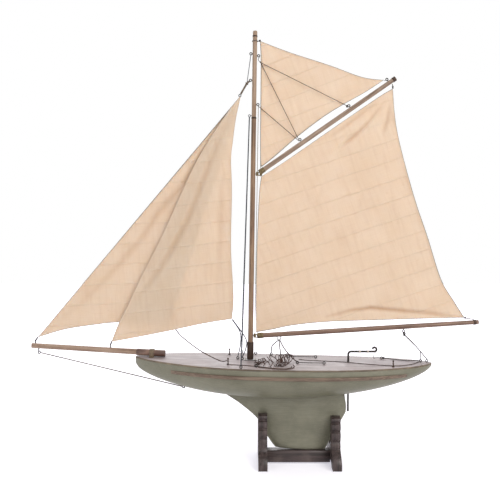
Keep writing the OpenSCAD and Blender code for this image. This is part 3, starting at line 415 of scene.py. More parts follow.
# the grain's turn follows each spar: upright for the masts, or its slope
sparLook = {"dark": "#6b5040", "main": "#8e7161", "pale": "#a68a78", "worn": "#b59c8a",
            "grainMm": 0.8, "ringMm": 3.5, "poreMm": 0.9, "contrast": 0.4, "faded": 0.35, "gloss": 0.38}
upright = (0, pi / 2, 0)
boomSlope, gaffSlope, spritSlope = radians(3.54), radians(34.6), radians(-3.6)
mastWood = timber("varnishedMast", dict(sparLook, dark="#6f533f", main="#97785e", pale="#af9276", turn=upright))
topmastWood = timber("varnishedTopmast", dict(sparLook, dark="#86694f", main="#ad937d", pale="#c0a68f",
                                              turn=upright))
boomWood = timber("varnishedBoom", dict(sparLook, turn=(0, boomSlope, 0)))
gaffWood = timber("varnishedGaff", dict(sparLook, dark="#7c6553", main="#a28b79", pale="#b8a18e",
                                        turn=(0, gaffSlope, 0)))
spritWood = timber("varnishedSprit", {
    "dark": "#8b705d", "main": "#b29784", "pale": "#c5ab98", "worn": "#cdb6a4", "turn": (0, spritSlope, 0),
    "grainMm": 0.9, "ringMm": 4, "poreMm": 1.0, "contrast": 0.5, "faded": 0.5, "gloss": 0.4})
socketWood = timber("darkSocketWood", {
    "dark": "#3c2722", "main": "#7b594c", "pale": "#aa8b7a", "worn": "#b89d8c", "turn": (0, spritSlope, 0),
    "grainMm": 0.9, "ringMm": 5, "poreMm": 1.2, "contrast": 0.8, "faded": 0.75, "gloss": 0.3})
standLook = {"dark": "#2c211f", "main": "#4a3b39", "pale": "#5f5150", "worn": "#84766f",
             "grainMm": 1.1, "ringMm": 6, "poreMm": 1.2, "contrast": 0.5, "faded": 0.3, "gloss": 0.34}
boardWood = timber("darkPolishedBoard", dict(standLook, turn=upright))
railWood = timber("darkPolishedRail", dict(standLook, turn=(0, 0, 0)))
agedBrass = oldMetal("tarnishedBrass", {
    "bright": "#94805c", "oxide": "#56472f", "spotMm": 3, "from": 0.36, "to": 0.62,
    "polished": 0.6, "smooth": 0.42})
dullStrap = oldMetal("dulledStrapBrass", {
    "bright": "#88755f", "oxide": "#6a5a4a", "spotMm": 5, "from": 0.35, "to": 0.65,
    "polished": 0.3, "smooth": 0.5})
darkBrass = oldMetal("blackenedBrass", {
    "bright": "#5a463a", "oxide": "#33261f", "spotMm": 5, "from": 0.35, "to": 0.65,
    "polished": 0.7, "smooth": 0.4})
wireIron = oldMetal("dullIronWire", {
    "bright": "#3d3732", "oxide": "#241e1b", "spotMm": 3, "from": 0.35, "to": 0.65,
    "polished": 0.15, "smooth": 0.5})
tillerIron = oldMetal("blackIronRod", {
    "bright": "#413a36", "oxide": "#28221f", "spotMm": 4, "from": 0.4, "to": 0.7,
    "polished": 0.4, "smooth": 0.4})
paleMetal = oldMetal("dullWhiteMetal", {
    "bright": "#aba8a8", "oxide": "#7f7a7b", "spotMm": 4, "from": 0.4, "to": 0.75,
    "polished": 0.6, "smooth": 0.45})
cottonLook = {
    "dark": "#e5d0b9", "main": "#e8d4bf", "pale": "#ebd8c4", "thread": "#cfb69b", "fox": "#d0b491",
    "seam": "#e8d6c2", "stitch": "#a88c6c", "edge": "#80776d", "threadMm": 1.0, "yarnMm": 9, "stitchMm": 3.0,
    "weave": 0.16, "streak": 0.1, "seamShade": 0.4, "foldShade": 0.6, "lapMm": 0.8, "hemMm": 7,
    "freePathMm": 0.95}
slateLine = laidLine("slateCottonLine", {"dark": "#2d3038", "main": "#464a54", "pale": "#696d77"})
greyLine = laidLine("greyCottonLine", {"dark": "#3d3f46", "main": "#5b5d65", "pale": "#7d7e84"})
brownLine = laidLine("brownHempLine", {"dark": "#3a2b25", "main": "#57433a", "pale": "#77614f"})
ropeLine = laidLine("tanHempRope", {"dark": "#5b4d40", "main": "#7d6d5d", "pale": "#9a8977"})
curlLine = laidLine("redBrownLine", {"dark": "#3b2a25", "main": "#5a423b", "pale": "#7d6359"})
bobLine = laidLine("brownBobstay", {"dark": "#5c514b", "main": "#80746d", "pale": "#998e86"})
steerLine = laidLine("blackSteeringLine", {"dark": "#2c2624", "main": "#453c3a", "pale": "#625854"})
tarThread = laidLine("tarredThread", {"by": "Object", "dark": "#3a332e", "main": "#574d46", "pale": "#766a60"})
# pale thread for the tiller's bands; its paleness is partly a painted highlight for the glints on the tiller
glintPaleThread = laidLine("waxedThread", {"by": "Object", "dark": "#b3a999", "main": "#d6cdbf", "pale": "#e8e1d6"})
greyThread = laidLine("greyWhipping", {"by": "Object", "dark": "#5f6168", "main": "#85868b", "pale": "#a5a5a6"})
print("finishes:", len(bpy.data.materials), "materials")

# shapes: all routes and outlines are in millimetres, as on the drawing;
# u goes from 0 at the stem to 1 at the stern
hullShape = {
    "stem": -264, "length": 654, "halfBeam": 87, "depth": 76, "camber": 2.5, "edge": 3, "forefoot": 4.5,
    "sheer": 222, "sheerRise": 15.5, "lowest": 0.8, "widest": 0.4, "deepest": 0.48, "section": 2.4,
    "stemHalf": 2.5, "sternHalf": 6, "stations": 128, "around": 30, "under": 6}


def along(x):
    return (x - hullShape["stem"]) / hullShape["length"]


def xAt(u):
    return hullShape["stem"] + u * hullShape["length"]


def rise(x):
    low = hullShape["lowest"]
    return hullShape["sheer"] + hullShape["sheerRise"] * ((low - along(x)) / low) ** 2


def beamAt(u):
    widest = hullShape["widest"]
    if u < widest:
        share = max(0, 1 - (1 - u / widest) ** 2) ** 0.7
    else:
        share = max(0, 1 - ((u - widest) / (1 - widest)) ** 2.6) ** 0.6
    return max(hullShape["stemHalf"] if u < 0.5 else hullShape["sternHalf"], hullShape["halfBeam"] * share)


def depthAt(u):
    deepest, foot = hullShape["deepest"], hullShape["forefoot"]
    if u < deepest:
        share = 0.25 + 0.75 * max(0, 1 - abs(1 - u / deepest) ** 2.2) ** 0.7
    else:
        share = 0.1 + 0.9 * max(0, 1 - abs((u - deepest) / (1 - deepest)) ** 1.9) ** 0.7
    # the foot of the stem is rounded off
    return hullShape["depth"] * share - foot * exp(-u * hullShape["length"] / foot)


def deckZ(x, y=0.0):
    b = beamAt(along(x))
    return rise(x) + hullShape["camber"] * b / hullShape["halfBeam"] * (1 - (y / b) ** 2)


def sideY(drop, b, d):
    return b * max(0, 1 - (max(0, drop) / d) ** 2) ** (1 / hullShape["section"])


def bottomZ(x, y):
    u = along(x)
    return rise(x) - depthAt(u) * sqrt(max(0, 1 - (abs(y) / beamAt(u)) ** hullShape["section"]))


# closer steps towards both ends
def eased(share):
    return (1 - cos(pi * share)) / 2


# a point on the smooth curve through a list of points, from 0 at the first to 1 at the last
def onCurve(points, share):
    last = len(points) - 1
    k = min(int(share * last), last - 1)
    f = share * last - k
    a, b, c, d = (Vector(points[min(max(k + n, 0), last)]) for n in (-1, 0, 1, 2))
    return 0.5 * (2 * b + (c - a) * f + (2 * a - 5 * b + 4 * c - d) * f ** 2 + (3 * b - a - 3 * c + d) * f ** 3)


# puts a bmesh, made in millimetres, into the scene as a finished object in metres;
# edges over sharp degrees stay hard
def finishPiece(name, bm, material, sharp=38):
    bm.transform(Matrix.Scale(0.001, 4))
    bm.normal_update()
    for face in bm.faces:
        face.smooth = True
    for edge in bm.edges:
        if len(edge.link_faces) == 2 and edge.calc_face_angle(0) > radians(sharp):
            edge.smooth = False
    mesh = bpy.data.meshes.new(name)
    bm.to_mesh(mesh)
    bm.free()
    piece = bpy.data.objects.new(name, mesh)
    scene.collection.objects.link(piece)
    for mat in (material if isinstance(material, list) else [material]):
        mesh.materials.append(mat)
    return piece


# the body that carries a node and its material slot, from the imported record
bodyOf = {node: body for body, members in frame["record"]["behaviour"]["bodies"].items() for node in members}
slotOf = {part["node"]: part["material_slot"] for part in frame["record"]["subparts"]}


# a piece that stands for a node moves with the node's body and takes its slot
def standFor(piece, node):
    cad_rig.ride(piece, bodyOf[node])
    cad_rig.replaces(piece, node)
    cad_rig.slot(piece, slotOf[node])


# a grid whose two directions are shaped by place(i, j), closed round j where wrap is set
def shapedGrid(rows, columns, place, wrap=False):
    bm = bmesh.new()
    bmesh.ops.create_grid(bm, x_segments=rows, y_segments=columns, size=0.5)
    cell = bm.verts.layers.float_vector.new("cell")
    for v in bm.verts:
        i, j = round((v.co.x + 0.5) * rows), round((v.co.y + 0.5) * columns)
        v[cell] = (i, j, 0)
        v.co = place(i, j)
    if wrap:
        bmesh.ops.remove_doubles(bm, verts=bm.verts, dist=0.0005)
        ends = [e for e in bm.edges if e.is_boundary]
        bmesh.ops.holes_fill(bm, edges=ends, sides=0)
        bmesh.ops.recalc_face_normals(bm, faces=bm.faces)
    return bm


def wearLayer(bm):
    return bm.verts.layers.float.new("rubbed")


# hull: the carved pine canoe body, closed under the deck
def makeHull():
    around, edge, under = hullShape["around"], hullShape["edge"], hullShape["under"]

    def place(i, j):
        u = eased(i / hullShape["stations"])
        x = xAt(u)
        b, d, s = beamAt(u), depthAt(u), rise(x)
        if j > 2 * around:
            return x, (1 - 2 * (j - 2 * around) / under) * sideY(edge, b, d), s - edge
        start = acos(sqrt(1 - (edge / d) ** 2))
        k = min(j, 2 * around - j)
        turn = start + (pi / 2 - start) * k / around
        half = b * max(0, cos(turn)) ** (2 / hullShape["section"]) if k < around else 0
        return x, -half if j <= around else half, s - d * sin(turn)

    bm = shapedGrid(hullShape["stations"], 2 * around + under, place, True)
    wear = wearLayer(bm)
    # rubbed along the deck's edge, down the stem and under the strake
    for v in bm.verts:
        drop = rise(v.co.x) - v.co.z - edge
        stemLine = exp(-abs(v.co.y) / 4) * max(0, 0.25 - along(v.co.x)) * 1.6
        v[wear] = 0.42 * exp(-drop / 1.6) + stemLine + 0.3 * exp(-abs(drop - 20) / 1.2)
    standFor(finishPiece("hullBody", bm, hullPaint, 50), "hull_shell")


deckShape = {"rim": 2.6, "rimShare": 0.4, "over": 0.5, "across": 22, "under": 4, "round": 0.7,
             "mastWear": (-60, 60)}


# deck: one cambered board with a stained edge
def makeDeck():
    inner, under, r = deckShape["across"], deckShape["under"], deckShape["round"]
    top = inner + 4

    def place(i, j):
        u = eased(i / hullShape["stations"])
        x = xAt(u)
        b, s = beamAt(u) + deckShape["over"], rise(x)
        if j > top + under + 1:
            return x, -b, s - r
        if j > top:
            return x, b - 2 * b * (j - top - 1) / under, s - hullShape["edge"]
        flat = b - min(deckShape["rim"], deckShape["rimShare"] * b)
        y = ([-b, -b + r] + [(2 * k / inner - 1) * flat for k in range(inner + 1)] + [b - r, b])[j]
        crown = hullShape["camber"] * beamAt(u) / hullShape["halfBeam"]
        return x, y, s + crown * (1 - (y / b) ** 2) - (r if j in (0, top) else 0)

    bm = shapedGrid(hullShape["stations"], top + under + 2, place, True)
    wear = wearLayer(bm)
    # rubbed along the edge and where hands reach in before the mast
    at, reach = deckShape["mastWear"]
    for v in bm.verts:
        b = beamAt(along(v.co.x))
        v[wear] = 0.35 * exp(-(b - abs(v.co.y)) / 5) + 0.25 * exp(-hypot(v.co.x - at, v.co.y) / reach)
    for face in bm.faces:
        middle = face.calc_center_median()
        b = beamAt(along(middle.x)) + deckShape["over"]
        if abs(middle.y) > b - min(deckShape["rim"], deckShape["rimShare"] * b) or len(face.verts) > 4:
            face.material_index = 1
    standFor(finishPiece("deckBoard", bm, [deckVarnish, edgeStain], 50), "deck")


# the fin's front and back edges as (z, x), from the sole up into the hull
finShape = {
    "fore": [(28, 46), (39, 38), (55, 29), (80, 15), (96, 7), (114, -11), (126, -26), (138, -42), (152, -70)],
    "aft": [(28, 156), (46, 165), (94, 191.5), (110, 200.5), (116, 202.2), (131, 202), (148, 199), (152, 199)],
    "half": 10, "thinnest": 0.16, "leadTop": 62, "shoulder": 138, "top": 152,
    "chord": 30, "levels": 18, "topLevels": 6}


# smooth lookup in a table of (key, value)
def smoothTable(table, key):
    key = min(max(key, table[0][0]), table[-1][0])
    k = next(n for n in range(len(table) - 1) if key <= table[n + 1][0])
    (x0, y0), (x1, y1) = table[k], table[k + 1]
    before, after = table[max(k - 1, 0)], table[min(k + 2, len(table) - 1)]
    m0 = (y1 - before[1]) / (x1 - before[0])
    m1 = (after[1] - y0) / (after[0] - x0)
    h, f = x1 - x0, (key - x0) / (x1 - x0)
    return ((2 * f ** 3 - 3 * f ** 2 + 1) * y0 + (f ** 3 - 2 * f ** 2 + f) * h * m0
            + (3 * f ** 2 - 2 * f ** 3) * y1 + (f ** 3 - f ** 2) * h * m1)


# one closed section of the fin, from the nose along port to the tail and back along starboard
def finPoint(level, j, thick=1.0):
    n = finShape["chord"]
    k = j % (2 * n + 2)
    c, side = (eased(k / n), -1) if k <= n else (eased((2 * n + 1 - k) / n), 1)
    x0, x1 = smoothTable(finShape["fore"], level), smoothTable(finShape["aft"], level)
    half = finShape["half"] * max(finShape["thinnest"], 1 - abs(2 * c - 1) ** 3.2)
    return x0 + (x1 - x0) * c, side * half * thick


def makeFin():
    low, shoulder, count = finShape["leadTop"], finShape["shoulder"], finShape["levels"]

    def place(i, j):
        if i <= count:
            level = low + (shoulder - low) * i / count
            return *finPoint(level, j), level
        f = (i - count) / finShape["topLevels"]
        x, y = finPoint(shoulder + (finShape["top"] - shoulder) * f, j)
        return x, y, (1 - f) * shoulder + f * (bottomZ(x, y) - 0.1)

    bm = shapedGrid(count + finShape["topLevels"], 2 * finShape["chord"] + 2, place, True)
    wear = wearLayer(bm)
    for v in bm.verts:
        x, y, z = v.co
        inFrom = min(x - smoothTable(finShape["fore"], z), smoothTable(finShape["aft"], z) - x)
        # painted shade: the rubbed value is raised in the corner under the hull, so the fin shows its darker colour
        # below where the hull shades it
        corner = 0.6 * exp(-max(0, bottomZ(x, y) - z) / 7)
        v[wear] = 0.45 * exp(-inFrom / 2.5) + 0.3 * exp(low - z) + corner
    standFor(finishPiece("finBoard", bm, keelPaint, 40), "fin_keel")


leadShape = {"sole": 28.7, "slope": 0.07, "level": 110, "rounding": 9, "narrow": 0.55, "joint": 0.05, "steps": 14}


def makeLead():
    low, high = finShape["fore"][0][0], finShape["leadTop"]

    def place(i, j):
        f = i / leadShape["steps"]
        level = low + (high - leadShape["joint"] - low) * f
        full = sqrt(min(1, (level - low) / leadShape["rounding"]))
        x, y = finPoint(level, j, leadShape["narrow"] + (1 - leadShape["narrow"]) * full)
        sole = leadShape["sole"] + max(0, leadShape["level"] - x) * leadShape["slope"]
        return x, y, max(level, sole + (high - sole) * f)

    bm = shapedGrid(leadShape["steps"], 2 * finShape["chord"] + 2, place, True)
    wear = wearLayer(bm)
    for v in bm.verts:
        v[wear] = 0.5 * exp(-(v.co.z - leadShape["sole"]) / 2.2) + 0.35 * exp(-(high - v.co.z) / 0.8)
    standFor(finishPiece("leadShoe", bm, keelPaint, 40), "ballast_lead")


# the strake's section goes down and out, as shares of its height and thickness; its corners are rubbed
strakeShape = {
    "first": 7, "last": 24, "of": 30, "thick": 3, "upper": 15, "lower": 23, "upperShare": 0.42,
    "lowerShare": 0.62, "endThick": 0.25, "endTaper": 6, "steps": 110, "corners": (1, 2, 5, 6),
    "section": [(0, -0.3), (0, 0.75), (0.06, 0.95), (0.14, 1), (0.86, 1), (0.94, 0.95), (1, 0.75), (1, -0.3)]}


def makeStrake(name, side):
    first, last, section = strakeShape["first"], strakeShape["last"], strakeShape["section"]

    def place(i, j):
        f = i / strakeShape["steps"]
        u = eased((first + (last - first) * f) / strakeShape["of"])
        x, d = xAt(u), depthAt(u)
        low = min(strakeShape["lower"], strakeShape["lowerShare"] * d)
        high = min(strakeShape["upper"], strakeShape["upperShare"] * d)
        down, out = section[j % len(section)]
        drop = high + (low - high) * down
        thick = strakeShape["thick"] * min(1, strakeShape["endThick"] + strakeShape["endTaper"] * min(f, 1 - f))
        return x, side * (sideY(drop, beamAt(u), d) + out * thick), rise(x) - drop

    bm = shapedGrid(strakeShape["steps"], len(section), place, True)
    wear, cell = wearLayer(bm), bm.verts.layers.float_vector["cell"]
    for v in bm.verts:
        v[wear] = 0.3 if round(v[cell][1]) in strakeShape["corners"] else 0.05
    standFor(finishPiece(name, bm, strakeWood, 45), "rubbing_strakes")


makeHull()
makeDeck()
makeFin()
makeLead()
makeStrake("portStrake", -1)
makeStrake("starboardStrake", 1)
print("hull, deck, fin, lead and strakes made")

# turned, bent and sawn pieces keep their drawn shape: merged, edges eased, smooth shaded.
# Each row is a node, its finish, how far its edges are eased and how far its surface is swelled, in millimetres
easing = {"merge": 2e-6, "flat": 0.6, "corner": 40, "sharp": 32, "steps": 2, "narrow": 60, "wear": 0.4}
easedNodes = [
    ("bowsprit", spritWood, 0.8), ("bowsprit_socket", socketWood, 0.5), ("bowsprit_strap", dullStrap, 0.3),
    ("deck_screws", agedBrass, 0.0), ("sprit_hooks", wireIron, 0.0, 0.25), ("bobstay_eye", wireIron, 0.0, 0.25),
    ("mast_plate", paleMetal, 0.4), ("mast_tube", darkBrass, 0.4), ("lower_mast", mastWood, 0.0),
    ("mast_ferrule", darkBrass, 0.4), ("topmast", topmastWood, 0.0), ("mast_eyes", wireIron, 0.0, 0.25),
    ("masthead_band", darkBrass, 0.2), ("deck_eyes", wireIron, 0.0, 0.25), ("jackstays", wireIron, 0.0, 0.25),
    ("bollards", darkBrass, 0.0), ("rudder_tube", tillerIron, 0.2), ("tiller", tillerIron, 0.0, 0.5),
    # the tiller's bands are pale partly as a painted highlight for the tiller's glints
    ("tiller_bands", glintPaleThread, 0.2, 0.6), ("mast_lugs", agedBrass, 0.2), ("boom_jaw", agedBrass, 0.25),
    ("gaff_jaw", agedBrass, 0.25), ("boom_pin", agedBrass, 0.2), ("gaff_pin", agedBrass, 0.2),
    ("boom", boomWood, 0.5), ("boom_band", darkBrass, 0.3), ("boom_staple", wireIron, 0.0, 0.25),
    ("sheet_clip", wireIron, 0.0, 0.25), ("gaff", gaffWood, 0.4), ("gaff_cap", darkBrass, 0.4),
    ("gaff_eyes", wireIron, 0.0, 0.25), ("fore_board", boardWood, 1.1), ("aft_board", boardWood, 1.1),
    ("stretcher", railWood, 0.9), ("keel_bolts", agedBrass, 0.0), ("topsail_strop", tarThread, 0.0),
    ("shroud_strop", greyThread, 0.0), ("mainsail_lashings", tarThread, 0.3),
    ("topsail_lashings", tarThread, 0.3)]


def easePiece(node, material, ease, swell=0.0):
    bm = bmesh.new()
    bm.from_mesh(nodes[node].data)
    bmesh.ops.remove_doubles(bm, verts=bm.verts, dist=easing["merge"])
    bmesh.ops.dissolve_limit(bm, angle_limit=radians(easing["flat"]), verts=bm.verts, edges=bm.edges)
    bm.normal_update()
    for v in bm.verts:
        v.co += v.normal * swell / 1000
    wear = wearLayer(bm)
    if ease:
        corners = [e for e in bm.edges
                   if len(e.link_faces) == 2 and e.calc_face_angle(0) > radians(easing["corner"])]
        bmesh.ops.bevel(bm, geom=corners, offset=ease / 1000, offset_type="OFFSET", segments=easing["steps"],
                        profile=0.5, affect="EDGES", clamp_overlap=True, material=-1)
        for face in bm.faces:
            if face.calc_area() < (ease / 1000) ** 2 * easing["narrow"]:
                for v in face.verts:
                    v[wear] = easing["wear"]
    bmesh.ops.triangulate(bm, faces=[f for f in bm.faces if len(f.verts) > 4])
    bm.transform(Matrix.Scale(1000, 4))
    standFor(finishPiece(node + "_eased", bm, material, easing["sharp"]), node)


for row in easedNodes:
    easePiece(*row)
print("fittings and stand:", len(easedNodes), "nodes eased")

# places on the rig: h up the raked mast, off behind it; l along a spar, up across it
rig = {"mastX": -10.6, "rake": radians(0.86), "pin": 9.5, "boomPin": 52, "gaffPin": 408.5,
       "eyeTop": 3.4, "eyeOut": 3.2, "topmast": 4.9, "boom": 5.45, "gaff": 5.2}
rig["mastZ"] = deckZ(rig["mastX"] - 14) + 1.7


def mastAt(h, off=0.0, y=0.0):
    r = rig["rake"]
    return Vector((rig["mastX"] + sin(r) * h + cos(r) * off, y, rig["mastZ"] + cos(r) * h - sin(r) * off))


def sparAt(pin, angle, l, up, y):
    way = Vector((l * cos(angle) - up * sin(angle), 0, l * sin(angle) + up * cos(angle)))
    return mastAt(pin, rig["pin"], y) + way


def boomAt(l, up=0.0, y=0.0):
    return sparAt(rig["boomPin"], boomSlope, l, up, y)


def gaffAt(l, up=0.0, y=0.0):
    return sparAt(rig["gaffPin"], gaffSlope, l, up, y)


# even steps along the smooth curve through a route
def evenSteps(route, step):
    pieces = 40 * (len(route) - 1)
    fine = [onCurve(route, k / pieces) for k in range(pieces + 1)]
    total = sum((b - a).length for a, b in zip(fine, fine[1:]))
    count = max(4, ceil(total / step))
    points, walked, k = [fine[0]], 0.0, 0
    for n in range(1, count):
        goal = total * n / count
        while walked + (fine[k + 1] - fine[k]).length < goal:
            walked += (fine[k + 1] - fine[k]).length
            k += 1
        points.append(fine[k].lerp(fine[k + 1], (goal - walked) / (fine[k + 1] - fine[k]).length))
    return points + [fine[-1]], total


# a three-strand line: a lobed section that turns as it goes along; step and pitch count in diameters
laying = {"strands": 3, "step": 0.5, "pitch": 3.4, "around": 9, "core": 0.93, "lobe": 0.13, "side": 0.35}


def layLine(name, route, thick, material):
    points, total = evenSteps([Vector(p) for p in route], thick * laying["step"])
    around, last = laying["around"], len(points) - 1
    up = Vector((0.31, 0.52, 0.8))
    sections, walked = [], 0.0
    for n, p in enumerate(points):
        way = (points[min(n + 1, last)] - points[max(n - 1, 0)]).normalized()
        up = (up - way * up.dot(way)).normalized()
        sections.append((p, up.copy(), way.cross(up), 2 * pi * walked / (laying["pitch"] * thick)))
        walked += (points[min(n + 1, last)] - p).length

    def place(i, j):
        p, a, b, twist = sections[i]
        turn = 2 * pi * (j % around) / around
        r = thick / 2 * (laying["core"] + laying["lobe"] * cos(laying["strands"] * (turn - twist)))
        return p + a * (r * cos(turn)) + b * (r * sin(turn))

    bm = shapedGrid(last, around, place, True)
    cell, uv = bm.verts.layers.float_vector["cell"], bm.loops.layers.uv.new("lay")
    for face in bm.faces:
        for loop in face.loops:
            i, j, z = loop.vert[cell]
            loop[uv].uv = (i * total / last / 1000, j * thick * laying["side"] / 1000)
    return finishPiece(name, bm, material, 80), [p / 1000 for p in points], total / 1000


# puts a line on the boat: one that crosses a joint starts on the moving side and bends between the two bodies
def rigLine(name, cord):
    piece, points, total = layLine(name, cord["route"], cord["thick"], cord["finish"])
    if "across" in cord:
        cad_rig.blend(piece, "boat", cord["across"], points[-1], points[0])
        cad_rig.replaces(piece, cord["node"])
        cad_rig.slot(piece, slotOf[cord["node"]])
    else:
        standFor(piece, cord["node"])
    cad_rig.cord(piece, exit=points[0], length=round(total, 3), diameter=cord["thick"] / 1000,
            far_end=cord.get("end", "object"), stiffness="limp", lay=cord.get("lay", "taut"), path=points)
    return round(total * 1000)


chainX = -30
chainY = beamAt(along(chainX)) - 5
chainZ = deckZ(chainX, chainY) + rig["eyeTop"] + rig["eyeOut"] + 0.2
strop = mastAt(534.6, -9.5)
bobLow = Vector((-159.2, 0, bottomZ(-156.4, 0) - 4.2))
fork = (11.6, -1.6, 880.5)
knot = Vector((-17.7, 0, 835))
clip = boomAt(330, -rig["boom"] - 13)
onGaffEye = rig["gaff"] + rig["eyeTop"]
foreEye = -rig["topmast"] - rig["eyeTop"]
underStaple = -rig["boom"] - 8.3
overEye = rig["eyeTop"] + rig["eyeOut"] + 0.5
stern = deckZ(381) + overEye
traveller = deckZ(367) + overEye
tillerEye = deckZ(286, 30) + rig["eyeTop"]


def onDeck(x, y, thick=1.6):
    return deckZ(x, y) + 0.3 + thick / 2


def flatOnDeck(*spots):
    return [(x, y, onDeck(x, y)) for x, y in spots]


# the sheet's tail behind the mast: a ring of curls, wide and upright aft, small and lying by the mast, bunched
# here and there
heap = {"centre": (37, -37), "wide": 33, "deep": 21, "arc": 345, "curls": 25, "radius": 9.2, "steps": 24,
        "bunches": 4, "bunch": 0.02, "lying": 0.65, "lean": 3.5, "leanFrom": 230, "stray": 4.0, "strayEvery": 31,
        "seed": 10}


def heapRoute():
    points = []
    noise.seed_set(heap["seed"])  # the vector noise is seeded by the clock otherwise
    count = heap["steps"] * heap["curls"]
    for k in range(count + 1):
        turn = 2 * pi * k / heap["steps"]
        way = radians(heap["arc"]) * (k / count + heap["bunch"] * sin(2 * pi * heap["bunches"] * k / count))
        lying = heap["lying"] * (1 - cos(way)) / 2
        stretch = 1 + 0.1 * sin(2 * way + radians(30)) + 0.05 * sin(7 * way)
        r = heap["radius"] * (0.82 + 0.3 * cos(way - radians(20))) + 0.7 * sin(5 * way)
        lean = (heap["lean"] * sin(3 * way + radians(heap["leanFrom"])) + 1.1 * r * lying) * sin(turn)
        stray = noise.noise_vector((k / heap["strayEvery"], way * 2, 4.2)) * heap["stray"]
        x = heap["centre"][0] + (heap["wide"] * stretch + r * cos(turn)) * cos(way) - lean * sin(way) + stray.x
        y = heap["centre"][1] + (heap["deep"] * stretch + r * cos(turn)) * sin(way) + lean * cos(way) + stray.y
        tall = r * (1 - 0.8 * lying) * (1 + sin(turn))
        points.append((x, y, onDeck(x, y) + max(0, tall + 0.6 * stray.z)))
    return points


